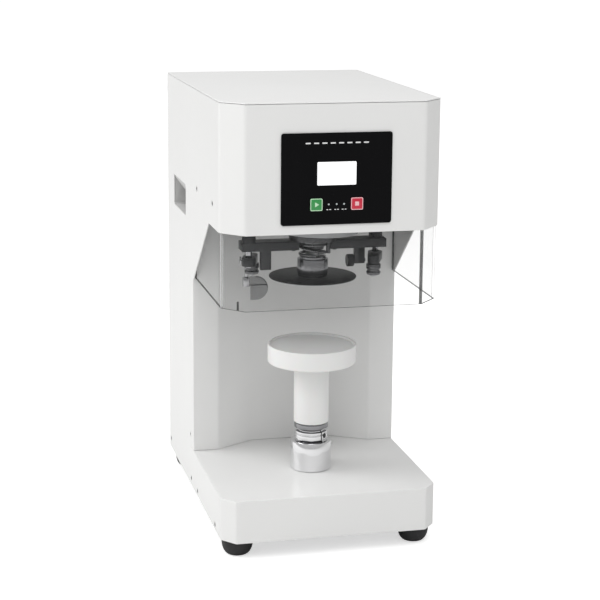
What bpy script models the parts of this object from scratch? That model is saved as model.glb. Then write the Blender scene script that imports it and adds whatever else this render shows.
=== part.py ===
"""Bench-top can seamer: white sheet-metal body, spinning roller head, sprung chuck and screw-driven lift tray.

Metres, +Z up, +Y to the rear. The origin is on the floor, under the middle of the machine.
"""
from math import acos, atan2, cos, hypot, pi, radians, sin, tau

import bmesh
import bpy
from mathutils import Matrix, Vector

# Overall body
WIDTH = 0.270
DEPTH = 0.404
HEIGHT = 0.554
SHEET = 0.0015          # folded steel sheet
GAP = 0.0003            # joint between touching pieces

# Feet and base
FOOT_HEIGHT = 0.0215
FOOT_RADIUS = 0.0194
FOOT_TIP = 0.52         # a foot's width on the floor, as a share of its top
FOOT_INSET_X = 0.023
FOOT_INSET_Y = 0.030
BASE_HEIGHT = 0.0535
BASE_CHAMFER = (0.016, 0.019)
BASE_PLATE = 0.004

# Head
HEAD_HEIGHT = 0.155
HEAD_CHAMFER = (0.026, 0.028)
WRAP = 0.006            # front covers turn this far on to the side

# Column behind the cup space
COLUMN_DEPTH = 0.199
RECESS_DEPTH = 0.030
RECESS_EDGE = 0.033     # width of the flat strip at each side
RECESS_BEVEL = 0.050    # width of each slanting wall
SEAM = 0.0235           # the column cover turns this far on to the side
DIAGONAL_RUN = 0.111    # side panel's slant, front to back
DIAGONAL_DROP = 0.094
RELIEF = (0.0012, 0.012)  # slit at the top of the side's seam, wide and high

# Clear guard
GUARD_DROP = 0.091
GUARD_THICK = 0.0025
GUARD_INSET = 0.0021
GUARD_HIDDEN = 0.021

# Carry handles
HANDLE_Y = 0.1045
HANDLE_LENGTH = 0.095
HANDLE_HEIGHT = 0.041
HANDLE_RISE = 0.001     # middle of the handle above the head's lower edge
HANDLE_DEPTH = 0.024
HANDLE_WALL = 0.002

# Spindle line and roller head
SPINDLE_SETBACK = 0.112  # from the front face
HEAD_PLATE_RISE = 0.005
HEAD_PLATE = 0.008
TURRET_DROP = 0.023      # head plate down to the turret flange
TURRET_FLANGE = 0.0097
TURRET_RADIUS = 0.030
TURRET_TUBE = 0.0137
STOP_PIN = (0.0150, -0.0190)  # from the spindle line
STOP_PIN_RADIUS = 0.0028
BEAM_THICK = 0.011
BEAM_WIDTH = 0.024
BEAM_REACH = 0.092
BLOCK = (0.0555, 0.0055)  # inner corner of the stop block under each beam
BLOCK_BELOW = 0.005      # lower end of the block below the arm
BLOCK_FACE = 0.069       # face of the stop block under each beam, from the spindle line
ADJUSTER = 0.0020
KNOB = (0.0080, 0.0085)   # radius and length
ARM_DROP = 0.008
ARM_THICK = 0.0105
PIVOT = (0.0825, 0.006)       # arm pivot from the spindle line
ROLLER_AT = (0.074, -0.017)   # seaming roller from the spindle line
FOLLOWER_AT = (0.050, 0.026)  # cam follower from the spindle line
PIVOT_BOSS = 0.009
ROLLER_BOSS = 0.0075
ROLLER_RADIUS = 0.0093
ROLLER_HEIGHT = 0.0135
ROLLER_DROP = 0.001
FOLLOWER_RADIUS = 0.006
ARM_SHAFT = 0.004
ARM_SWING = radians(22)
CAM_TURN = radians(90)
CAM_THICK = 0.006
CAM_CLEAR = 0.001
CAM_TUBE = 0.0172
RUNNING = 0.0003         # radial clearance of turning fits

# Chuck and its spring
CHUCK_RADIUS = 0.0545
CHUCK_DISC = 0.0021
CHUCK_BELOW = 0.0017     # chuck disc's top below the rollers' lower ends, before a can lifts it
HUB_HEIGHT = 0.0214
SEAT_HEIGHT = 0.0035
CHUCK_ROD = 0.008
CHUCK_TRAVEL = 0.006
SPRING_RADIUS = 0.0180
SPRING_WIRE = 0.0018
HUB_PROUD = 0.0012        # hub's rim beyond the spring
SEAT_WITHIN = 0.0015      # hub's seat inside the spring's rim
GUIDE_CLEARANCE = 0.0006  # spring guide inside the spring
HUB_RADIUS = SPRING_RADIUS + HUB_PROUD
SEAT_RADIUS = SPRING_RADIUS - SEAT_WITHIN
SPIGOT = (SPRING_RADIUS - 2 * SPRING_WIRE - GUIDE_CLEARANCE, 0.012)  # guide's radius and depth

# Belt drive
PULLEY_RADIUS = 0.045
MOTOR_PULLEY = 0.015
PULLEY_FACE = 0.0095
PULLEY_RIM = 0.003
BELT_THICK = 0.0025
MOTOR_Y = 0.115
MOTOR_RADIUS = 0.040
MOTOR_LENGTH = 0.100
MOTOR_SHAFT = 0.005
HOUSING_HEIGHT = 0.038
BEARING_WALL = 0.007
BEARING_HEIGHT = 0.010

# Lift and tray
LIFT_ROD = 0.0135
LIFT_SLEEVE_RADIUS = 0.026
LIFT_SLEEVE_HEIGHT = 0.037
COLLAR_RADIUS = 0.021
COLLAR_HEIGHT = 0.0115
COLLAR_RISE = 0.0025
NECK = 0.0027
POST_FLANGE = 0.0068
POST_RADIUS = 0.0222
CUP_ROOM = 0.0854        # tray's rim to the chuck disc
TRAY_RADIUS = 0.0557
TRAY_THICK = 0.0235
TRAY_RIM = 0.0035
TRAY_RECESS = 0.0025
LIFT_SCREW = 0.0065
LIFT_PULLEY = 0.018
LIFT_MOTOR_PULLEY = 0.012
LIFT_MOTOR_Y = 0.095
LIFT_MOTOR_RADIUS = 0.028
LIFT_MOTOR_LENGTH = 0.075

# Side stop that hangs behind the roller head
STOP_AT = (-0.0695, 0.072)  # from the spindle line
STOP_CLAMP_DROP = 0.1004
STOP_NUT_DROP = 0.0713

# Control panel
PANEL_WIDTH = 0.134
PANEL_HEIGHT = 0.1085
PANEL_RISE = 0.011       # above the head's lower edge
PANEL_THICK = 0.0015
WINDOW = (0.0468, 0.0272)
WINDOW_DROP = 0.048      # window's middle below the panel's top
BUTTON = 0.0146
BUTTON_SPREAD = 0.0246
BUTTON_RISE = 0.0242     # buttons' middle above the panel's lower edge
BUTTON_PROUD = 0.001

# Places worked out from the sizes above
HALF = WIDTH / 2
FRONT = -DEPTH / 2
REAR = DEPTH / 2
BASE_BOTTOM = FOOT_HEIGHT + GAP
BASE_TOP = BASE_BOTTOM + BASE_HEIGHT
HEAD_BOTTOM = HEIGHT - HEAD_HEIGHT
LID_Z = HEIGHT - SHEET - GAP
INNER = HALF - SHEET - GAP
COLUMN_FRONT = REAR - COLUMN_DEPTH
RECESS_BACK = COLUMN_FRONT + RECESS_DEPTH
SEAM_Y = COLUMN_FRONT + SEAM
DIAGONAL_FOOT = HEAD_BOTTOM - DIAGONAL_DROP
SPINDLE = (0.0, FRONT + SPINDLE_SETBACK)
PLATE_BOTTOM = HEAD_BOTTOM + HEAD_PLATE_RISE
PLATE_TOP = PLATE_BOTTOM + HEAD_PLATE
FLANGE_TOP = PLATE_BOTTOM - TURRET_DROP
FLANGE_BOTTOM = FLANGE_TOP - TURRET_FLANGE
BEAM_TOP = FLANGE_BOTTOM - GAP
BEAM_BOTTOM = BEAM_TOP - BEAM_THICK
ARM_TOP = BEAM_BOTTOM - ARM_DROP
ARM_BOTTOM = ARM_TOP - ARM_THICK
ROLLER_TOP = ARM_BOTTOM - ROLLER_DROP
ROLLER_BOTTOM = ROLLER_TOP - ROLLER_HEIGHT
DISC_TOP = ROLLER_BOTTOM - CHUCK_BELOW
DISC_BOTTOM = DISC_TOP - CHUCK_DISC
HUB_BOTTOM = DISC_TOP + GAP
HUB_TOP = HUB_BOTTOM + HUB_HEIGHT
SEAT_TOP = HUB_TOP + SEAT_HEIGHT
CAM_BOTTOM = FLANGE_TOP + 0.0022
CAM_TOP = CAM_BOTTOM + CAM_THICK
HOUSING_TOP = PLATE_TOP + HOUSING_HEIGHT
CAM_TUBE_BORE = TURRET_TUBE + RUNNING
BEARING_BORE = CAM_TUBE + RUNNING
BEARING_OUT = BEARING_BORE + BEARING_WALL
HOUSING_BORE = BEARING_OUT + RUNNING
HOUSING_RADIUS = HOUSING_BORE + 0.0072
PULLEY_LOW = HOUSING_TOP + 0.0020
PULLEY_MID = PULLEY_LOW + PULLEY_FACE
PULLEY_HIGH = PULLEY_MID + 0.001 + PULLEY_FACE
TURRET_TUBE_TOP = PULLEY_HIGH + 0.008
BRIDGE_BOTTOM = TURRET_TUBE_TOP + 0.006
BRIDGE_TOP = BRIDGE_BOTTOM + 0.008
SLEEVE_BOTTOM = BASE_TOP + GAP
SLEEVE_TOP = SLEEVE_BOTTOM + LIFT_SLEEVE_HEIGHT
COLLAR_BOTTOM = SLEEVE_TOP + COLLAR_RISE
COLLAR_TOP = COLLAR_BOTTOM + COLLAR_HEIGHT
ROD_TOP = COLLAR_TOP + NECK
POST_BOTTOM = ROD_TOP + POST_FLANGE + GAP
TRAY_TOP = DISC_BOTTOM - CUP_ROOM
TRAY_BOTTOM = TRAY_TOP - TRAY_THICK
POST_TOP = TRAY_BOTTOM - GAP
PANEL_BOTTOM = HEAD_BOTTOM + PANEL_RISE
PANEL_TOP = PANEL_BOTTOM + PANEL_HEIGHT
PANEL_BACK = FRONT - GAP
PANEL_FACE = PANEL_BACK - PANEL_THICK
HANDLE_Z = HEAD_BOTTOM + HANDLE_RISE
INLET_AT = (0.065, BASE_TOP - 0.010)
SWITCH_AT = (0.065, BASE_TOP + 0.024)
LIFT_PULLEY_LOW = BASE_BOTTOM + BASE_PLATE + 0.005
LIFT_PULLEY_FACE = 0.010

for old in list(bpy.data.objects):
    bpy.data.objects.remove(old, do_unlink=True)
PARTS = bpy.data.collections.new("cup_sealing_machine")
CUTTERS = bpy.data.collections.new("cutters")
bpy.context.scene.collection.children.link(PARTS)
bpy.context.scene.collection.children.link(CUTTERS)
CUTTERS.hide_render = True


def finish(name, colour, roughness, metallic=0.0, alpha=1.0):
    """A Principled material."""
    made = bpy.data.materials.new(name)
    made.use_nodes = True
    shader = made.node_tree.nodes["Principled BSDF"]
    shader.inputs["Base Color"].default_value = (*colour, 1.0)
    shader.inputs["Roughness"].default_value = roughness
    shader.inputs["Metallic"].default_value = metallic
    shader.inputs["Alpha"].default_value = alpha
    return made


WHITE = finish("white_powder_coat", (0.86, 0.86, 0.85), 0.45)
STEEL = finish("plain_steel", (0.45, 0.46, 0.47), 0.40, 1.0)
DARK_STEEL = finish("blackened_steel", (0.06, 0.06, 0.065), 0.42, 0.8)
CHROME = finish("chrome", (0.80, 0.80, 0.82), 0.12, 1.0)
BLACK = finish("black_plastic", (0.02, 0.02, 0.02), 0.35)
RUBBER = finish("black_rubber", (0.015, 0.015, 0.015), 0.75)
NYLON = finish("white_nylon", (0.84, 0.84, 0.82), 0.50)
CLEAR = finish("clear_acrylic", (0.85, 0.88, 0.88), 0.05, 0.0, 0.25)
GREEN = finish("green_plastic", (0.05, 0.45, 0.12), 0.35)
RED = finish("red_plastic", (0.60, 0.03, 0.04), 0.35)
SCREEN = finish("white_screen", (0.88, 0.90, 0.90), 0.20)
BOARD = finish("circuit_board", (0.02, 0.20, 0.08), 0.55)


def place(name, bm, material, at=(0.0, 0.0)):
    """An object in the parts collection from a bmesh, standing at a place on the plan."""
    mesh = bpy.data.meshes.new(name)
    bm.to_mesh(mesh)
    bm.free()
    mesh.materials.append(material)
    made = bpy.data.objects.new(name, mesh)
    made.location = (at[0], at[1], 0.0)
    PARTS.objects.link(made)
    return made


# Each axis: where an outline's two numbers and its thickness go.
AXES = {
    "Z": lambda a, b, c: (a, b, c),
    "Y": lambda a, b, c: (a, c, b),
    "X": lambda a, b, c: (c, a, b),
}


def prism(name, outline, low, high, material, axis="Z"):
    """A flat outline made thick along one axis."""
    bm = bmesh.new()
    face = bm.faces.new([bm.verts.new(AXES[axis](a, b, low)) for a, b in outline])
    grown = bmesh.ops.extrude_face_region(bm, geom=[face])
    rise = Vector(AXES[axis](0.0, 0.0, high - low))
    moved = [v for v in grown["geom"] if isinstance(v, bmesh.types.BMVert)]
    bmesh.ops.translate(bm, vec=rise, verts=moved)
    bmesh.ops.recalc_face_normals(bm, faces=bm.faces)
    return place(name, bm, material)


def box(name, low, high, material):
    """A block between two corners."""
    bm = bmesh.new()
    size = [h - l for l, h in zip(low, high)]
    middle = [(l + h) / 2 for l, h in zip(low, high)]
    bmesh.ops.create_cube(bm, size=1.0, matrix=Matrix.LocRotScale(middle, None, size))
    return place(name, bm, material)


def turned(name, profile, material, at=SPINDLE, steps=24, ring=False):
    """A turned piece: its half outline, down the outer side, swept round a vertical line."""
    bm = bmesh.new()
    verts = [bm.verts.new((r, 0.0, z)) for r, z in profile]
    for first, second in zip(verts, verts[1:]):
        bm.edges.new((first, second))
    if ring:
        bm.edges.new((verts[-1], verts[0]))
    made = place(name, bm, material, at)
    sweep = made.modifiers.new("Turn", "SCREW")
    sweep.steps = sweep.render_steps = steps
    sweep.use_merge_vertices = True
    sweep.merge_threshold = 0.00001
    sweep.use_smooth_shade = False
    return made


def tube(name, outer, bore, low, high, material, at=SPINDLE, steps=24):
    """A plain ring."""
    profile = [(outer, high), (outer, low), (bore, low), (bore, high)]
    return turned(name, profile, material, at, steps, ring=True)


def rod(name, radius, low, high, material, at=SPINDLE, steps=24):
    """A plain round bar."""
    profile = [(0.0, high), (radius, high), (radius, low), (0.0, low)]
    return turned(name, profile, material, at, steps)


def cross_rod(name, radius, start, end, material, steps=20):
    """A round bar between two points."""
    bm = bmesh.new()
    start, end = Vector(start), Vector(end)
    run = end - start
    turn = run.to_track_quat("Z", "Y").to_matrix().to_4x4()
    where = Matrix.Translation((start + end) / 2) @ turn
    bmesh.ops.create_cone(bm, cap_ends=True, segments=steps, radius1=radius, radius2=radius,
                          depth=run.length, matrix=where)
    return place(name, bm, material)


def combine(target, other, operation):
    """Joins or cuts one piece with another, which becomes a hidden helper."""
    PARTS.objects.unlink(other)
    CUTTERS.objects.link(other)
    other.hide_render = True
    other.display_type = "WIRE"
    step = target.modifiers.new(other.name, "BOOLEAN")
    step.object = other
    step.operation = operation
    return target


def cut(target, *others):
    for other in others:
        combine(target, other, "DIFFERENCE")
    return target


def join(target, *others):
    for other in others:
        combine(target, other, "UNION")
    return target


def sheet(name, chain, low, high, material, thick=SHEET):
    """A folded sheet: a plan chain with its outer side on the right, extruded up and given its thickness."""
    bm = bmesh.new()
    verts = [bm.verts.new((x, y, low)) for x, y in chain]
    edges = [bm.edges.new(pair) for pair in zip(verts, verts[1:])]
    grown = bmesh.ops.extrude_edge_only(bm, edges=edges)
    moved = [v for v in grown["geom"] if isinstance(v, bmesh.types.BMVert)]
    bmesh.ops.translate(bm, vec=(0.0, 0.0, high - low), verts=moved)
    bm.normal_update()
    bm.faces.ensure_lookup_table()
    first = bm.faces[0]
    middle = first.calc_center_median().xy
    corners = [Vector(point) for point in chain]
    a, b = min(zip(corners, corners[1:]), key=lambda pair: ((pair[0] + pair[1]) / 2 - middle).length)
    if first.normal.xy.dot((b.y - a.y, a.x - b.x)) < 0:
        bmesh.ops.reverse_faces(bm, faces=bm.faces)
    made = place(name, bm, material)
    wall = made.modifiers.new("Wall", "SOLIDIFY")
    wall.thickness = thick
    wall.offset = -1.0
    wall.use_even_offset = True
    return made


def arc(centre, radius, start, end, count):
    """Points along an arc, both ends included."""
    return [(centre[0] + radius * cos(start + (end - start) * i / count),
             centre[1] + radius * sin(start + (end - start) * i / count)) for i in range(count + 1)]


def fillet(before, corner, after, radius, count=4):
    """Points that round one corner of an outline."""
    c = Vector(corner)
    to_before = (Vector(before) - c).normalized()
    to_after = (Vector(after) - c).normalized()
    half = to_before.angle(to_after) / 2
    centre = c + (to_before + to_after).normalized() * radius / sin(half)
    first = c + to_before * radius * cos(half) / sin(half) - centre
    last = c + to_after * radius * cos(half) / sin(half) - centre
    points = [centre + first.slerp(last, i / count).normalized() * radius for i in range(count + 1)]
    return [(p.x, p.y) for p in points]


def rounded_rectangle(centre, width, height, radius, count=3):
    """Outline of a rectangle with round corners."""
    points = []
    for turn, (sx, sy) in enumerate(((1, 1), (-1, 1), (-1, -1), (1, -1))):
        middle = (centre[0] + sx * (width / 2 - radius), centre[1] + sy * (height / 2 - radius))
        points += arc(middle, radius, turn * pi / 2, (turn + 1) * pi / 2, count)
    return points


def loop_round(first, first_radius, second, second_radius, count=28):
    """Outline of a band drawn tight round two circles."""
    dx, dy = second[0] - first[0], second[1] - first[1]
    along = atan2(dy, dx)
    lean = acos((first_radius - second_radius) / hypot(dx, dy))
    near = arc(first, first_radius, along + lean, along + tau - lean, count)
    far = arc(second, second_radius, along - lean, along + lean, count)
    return near + far


def chamfered(inset, chamfer, back):
    """Plan chain of a front with chamfered corners, left to right, set in from the outside."""
    cx, cy = chamfer
    slant = hypot(cx, cy)
    side = HALF - inset
    corner_y = FRONT + cy + inset * (slant - cy) / cx
    corner_x = HALF - cx - inset * (slant - cx) / cy
    front = FRONT + inset
    return [(-side, back), (-side, corner_y), (-corner_x, front),
            (corner_x, front), (side, corner_y), (side, back)]


def at_spindle(x, y, side=1):
    """A plan point given from the spindle line; side -1 turns it half way round."""
    return (SPINDLE[0] + side * x, SPINDLE[1] + side * y)


def spin_outline(outline, side):
    """An outline given from the spindle line, turned half way round for side -1."""
    return [at_spindle(x, y, side) for x, y in outline]


# Base: steel plate, folded cover and four rubber feet
def make_base():
    inside = SHEET + GAP
    plate = chamfered(inside, BASE_CHAMFER, REAR - inside)
    prism("base_plate", plate, BASE_BOTTOM, BASE_BOTTOM + BASE_PLATE, STEEL)
    wrap_y = FRONT + BASE_CHAMFER[1] + WRAP
    tongue = HALF - RECESS_EDGE - RECESS_BEVEL / 2
    outline = chamfered(0.0, BASE_CHAMFER, SEAM_Y)
    deck = outline + [(tongue, SEAM_Y), (tongue, RECESS_BACK + 0.010),
                      (-tongue, RECESS_BACK + 0.010), (-tongue, SEAM_Y)]
    cover = prism("base_cover", deck, BASE_TOP - SHEET, BASE_TOP, WHITE)
    walls = sheet("base_walls", chamfered(0.0, BASE_CHAMFER, wrap_y), BASE_BOTTOM,
                  BASE_TOP - SHEET / 2, WHITE)
    join(cover, walls)
    cut(cover, rod("rod_hole", LIFT_ROD + 0.0015, BASE_TOP - 0.01, BASE_TOP + 0.01, WHITE))
    for side, x in (("left", -1), ("right", 1)):
        for end, y in (("front", -1), ("rear", 1)):
            at = (x * (HALF - FOOT_INSET_X), y * (REAR - FOOT_INSET_Y))
            bulge = arc((FOOT_TIP, 0.9), 1.0 - FOOT_TIP, 0.0, -pi / 2, 5)
            low = 0.9 - (1.0 - FOOT_TIP)
            foot = [(0.0, FOOT_HEIGHT), (FOOT_RADIUS, FOOT_HEIGHT)]
            foot += [(FOOT_RADIUS * r, FOOT_HEIGHT * (z - low) / (1.0 - low)) for r, z in bulge]
            turned(f"foot_{end}_{side}", foot + [(0.0, 0.0)], RUBBER, at)


# Body sheets: two C-shaped sides, front cover, lid, rear panel and column cover
def side_outline():
    """The side sheet in Y and Z: head, slanting throat edge, column and base leg."""
    base_leg = FRONT + BASE_CHAMFER[1] + WRAP + GAP
    head_front = FRONT + HEAD_CHAMFER[1] + WRAP + GAP
    deck = BASE_TOP - SHEET - GAP
    slant_foot = (COLUMN_FRONT, DIAGONAL_FOOT)
    slant_top = (COLUMN_FRONT - DIAGONAL_RUN, HEAD_BOTTOM)
    slit = SEAM_Y - RELIEF[0]
    outline = [(REAR, BASE_BOTTOM), (base_leg, BASE_BOTTOM), (base_leg, deck), (SEAM_Y, deck),
               (SEAM_Y, DIAGONAL_FOOT + RELIEF[1]), (slit, DIAGONAL_FOOT + RELIEF[1]),
               (slit, DIAGONAL_FOOT), slant_foot]
    outline += fillet(slant_foot, slant_top, (head_front, HEAD_BOTTOM), 0.004)
    return outline + [(head_front, HEAD_BOTTOM), (head_front, LID_Z), (REAR, LID_Z)]


def make_body():
    handle = rounded_rectangle((HANDLE_Y, HANDLE_Z), HANDLE_LENGTH, HANDLE_HEIGHT, 0.003)
    for side, x in (("left", -1), ("right", 1)):
        faces = sorted((x * HALF, x * (HALF - SHEET)))
        panel = prism(f"side_panel_{side}", side_outline(), *faces, WHITE, "X")
        through = (faces[0] - 0.01, faces[1] + 0.01)
        cut(panel, prism(f"handle_hole_{side}", handle, *through, WHITE, "X"))
    wrap_y = FRONT + HEAD_CHAMFER[1] + WRAP
    front = sheet("head_front_cover", chamfered(0.0, HEAD_CHAMFER, wrap_y), HEAD_BOTTOM, LID_Z, WHITE)
    edge = 0.007
    cut(front, box("panel_hole", (-PANEL_WIDTH / 2 + edge, FRONT - 0.01, PANEL_BOTTOM + 2 * edge),
                   (PANEL_WIDTH / 2 - edge, FRONT + 0.01, PANEL_TOP - edge), WHITE))
    prism("top_cover", chamfered(0.0, HEAD_CHAMFER, REAR), HEIGHT - SHEET, HEIGHT, WHITE)
    rear = box("rear_panel", (-INNER, REAR - SHEET, BASE_BOTTOM), (INNER, REAR, LID_Z), WHITE)
    inlet = rounded_rectangle((INLET_AT[0], INLET_AT[1]), 0.0286, 0.0206, 0.002)
    switch = rounded_rectangle((SWITCH_AT[0], SWITCH_AT[1]), 0.0136, 0.0196, 0.001)
    cut(rear, prism("inlet_hole", inlet, REAR - 0.01, REAR + 0.01, WHITE, "Y"),
        prism("switch_hole", switch, REAR - 0.01, REAR + 0.01, WHITE, "Y"))
    for row in range(6):
        slot = rounded_rectangle((0.0, HEIGHT - 0.050 - 0.011 * row), 0.110, 0.0045, 0.0022)
        cut(rear, prism(f"vent_{row}", slot, REAR - 0.01, REAR + 0.01, WHITE, "Y"))
    strip = HALF - RECESS_EDGE
    back = strip - RECESS_BEVEL
    half = [(back, RECESS_BACK), (strip, COLUMN_FRONT), (HALF, COLUMN_FRONT), (HALF, SEAM_Y - GAP)]
    chain = [(-x, y) for x, y in reversed(half)] + half
    column = sheet("column_cover", chain, BASE_TOP + GAP, PLATE_BOTTOM - GAP, WHITE)
    for side in (-1, 1):
        low, high = sorted((side * INNER, side * (HALF + 0.01)))
        cut(column, box(f"column_trim_{side}", (low, COLUMN_FRONT - 0.01, DIAGONAL_FOOT - GAP),
                        (high, SEAM_Y + 0.01, HEIGHT), WHITE))


# Clear acrylic guard, hung inside the head cover
def make_guard():
    chain = chamfered(GUARD_INSET, HEAD_CHAMFER, COLUMN_FRONT - 0.002)
    sheet("clear_guard", chain, HEAD_BOTTOM - GUARD_DROP, HEAD_BOTTOM + GUARD_HIDDEN, CLEAR,
          GUARD_THICK)


# Recessed carry handles with a sloping grip that leaves finger room behind it
def make_handles():
    for side, x in (("left", -1), ("right", 1)):
        mouth = x * INNER
        deep = x * (INNER - HANDLE_DEPTH)
        pocket = rounded_rectangle((HANDLE_Y, HANDLE_Z), HANDLE_LENGTH, HANDLE_HEIGHT, 0.003)
        shell = rounded_rectangle((HANDLE_Y, HANDLE_Z), HANDLE_LENGTH + 2 * HANDLE_WALL,
                                  HANDLE_HEIGHT + 2 * HANDLE_WALL, 0.005)
        rim = rounded_rectangle((HANDLE_Y, HANDLE_Z), HANDLE_LENGTH + 0.012,
                                HANDLE_HEIGHT + 0.012, 0.007)
        cup = prism(f"handle_cup_{side}", rim, *sorted((mouth, mouth - x * HANDLE_WALL)), WHITE, "X")
        join(cup, prism(f"cup_wall_{side}", shell,
                        *sorted((mouth - x * 0.0005, deep - x * HANDLE_WALL)), WHITE, "X"))
        cut(cup, prism(f"cup_hollow_{side}", pocket, *sorted((mouth + x * 0.01, deep)), WHITE, "X"))
        top = HANDLE_Z + HANDLE_HEIGHT / 2
        grip = [(mouth, top + 0.0005), (mouth, top - 0.003), (mouth - x * 0.011, top - 0.019),
                (mouth - x * 0.013, top - 0.018), (mouth - x * 0.004, top + 0.0005)]
        ends = (HANDLE_Y - HANDLE_LENGTH / 2 - 0.001, HANDLE_Y + HANDLE_LENGTH / 2 + 0.001)
        join(cup, prism(f"grip_{side}", grip, *ends, WHITE, "Y"))


# Inner frame: U-shaped column frame and the head plate that carries the spindle
def make_frame():
    inner, front, back = 0.100, RECESS_BACK + 0.017, REAR - 0.014
    chain = [(inner, back), (inner, front), (-inner, front), (-inner, back)]
    frame = sheet("column_frame", chain, BASE_BOTTOM + BASE_PLATE + GAP, PLATE_BOTTOM - GAP, STEEL,
                  0.003)
    cut(frame, box("belt_notch", (-0.028, front - 0.01, 0.0),
                   (0.028, front + 0.01, LIFT_PULLEY_LOW + LIFT_PULLEY_FACE + 0.008), STEEL))
    inset = 0.008
    narrow = HALF - 0.030
    handle_front = HANDLE_Y - HANDLE_LENGTH / 2 - 0.010
    side_chain = chamfered(inset, HEAD_CHAMFER, handle_front)
    outline = side_chain + [(narrow, handle_front), (narrow, back), (-narrow, back),
                            (-narrow, handle_front)]
    plate = prism("head_plate", outline, PLATE_BOTTOM, PLATE_TOP, STEEL)
    side = HALF - 0.0052
    for x in (-1, 1):
        low, high = sorted((x * (side - 0.003), x * side))
        join(plate, box(f"plate_flange_{x}", (low, FRONT + 0.052, PLATE_BOTTOM),
                        (high, handle_front, PLATE_TOP + 0.026), STEEL))
    cut(plate, rod("tube_hole", CAM_TUBE + 0.001, PLATE_BOTTOM - 0.01, PLATE_TOP + 0.01, STEEL),
        rod("shaft_hole", MOTOR_SHAFT + 0.004, PLATE_BOTTOM - 0.01, PLATE_TOP + 0.01, STEEL,
            (0.0, MOTOR_Y)))


# Drive: motor, belt over both head pulleys, bearings and housing
def make_drive():
    low = PLATE_TOP + GAP
    housing = [(HOUSING_RADIUS, HOUSING_TOP), (HOUSING_RADIUS, low + 0.006), (0.044, low + 0.006),
               (0.044, low), (HOUSING_BORE, low), (HOUSING_BORE, HOUSING_TOP)]
    turned("bearing_housing", housing, DARK_STEEL, ring=True)
    tube("lower_bearing", BEARING_OUT, BEARING_BORE, low, low + BEARING_HEIGHT, STEEL)
    tube("upper_bearing", BEARING_OUT, BEARING_BORE, HOUSING_TOP - BEARING_HEIGHT, HOUSING_TOP, STEEL)
    motor_at = (0.0, MOTOR_Y)
    top = PLATE_BOTTOM - GAP
    motor = [(0.0, top), (MOTOR_RADIUS, top), (MOTOR_RADIUS, top - MOTOR_LENGTH + 0.006),
             (MOTOR_RADIUS - 0.006, top - MOTOR_LENGTH), (0.0, top - MOTOR_LENGTH)]
    turned("drive_motor", motor, DARK_STEEL, motor_at)
    rim = MOTOR_PULLEY + PULLEY_RIM
    pulley = [(0.0, PULLEY_HIGH + 0.004), (rim, PULLEY_HIGH + 0.004), (rim, PULLEY_HIGH + 0.002),
              (MOTOR_PULLEY, PULLEY_HIGH + 0.002), (MOTOR_PULLEY, PULLEY_LOW - 0.002),
              (rim, PULLEY_LOW - 0.002), (rim, PULLEY_LOW - 0.004), (MOTOR_SHAFT, PULLEY_LOW - 0.004),
              (MOTOR_SHAFT, PLATE_BOTTOM), (0.0, PLATE_BOTTOM)]
    turned("motor_pulley", pulley, STEEL, motor_at, 24)
    belt_low, belt_high = PULLEY_LOW + 0.001, PULLEY_HIGH - 0.001
    outer = loop_round(SPINDLE, PULLEY_RADIUS + GAP + BELT_THICK, motor_at,
                       MOTOR_PULLEY + GAP + BELT_THICK)
    inner = loop_round(SPINDLE, PULLEY_RADIUS + GAP, motor_at, MOTOR_PULLEY + GAP)
    belt = prism("drive_belt", outer, belt_low, belt_high, RUBBER)
    cut(belt, prism("belt_inside", inner, belt_low - 0.01, belt_high + 0.01, RUBBER))


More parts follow.
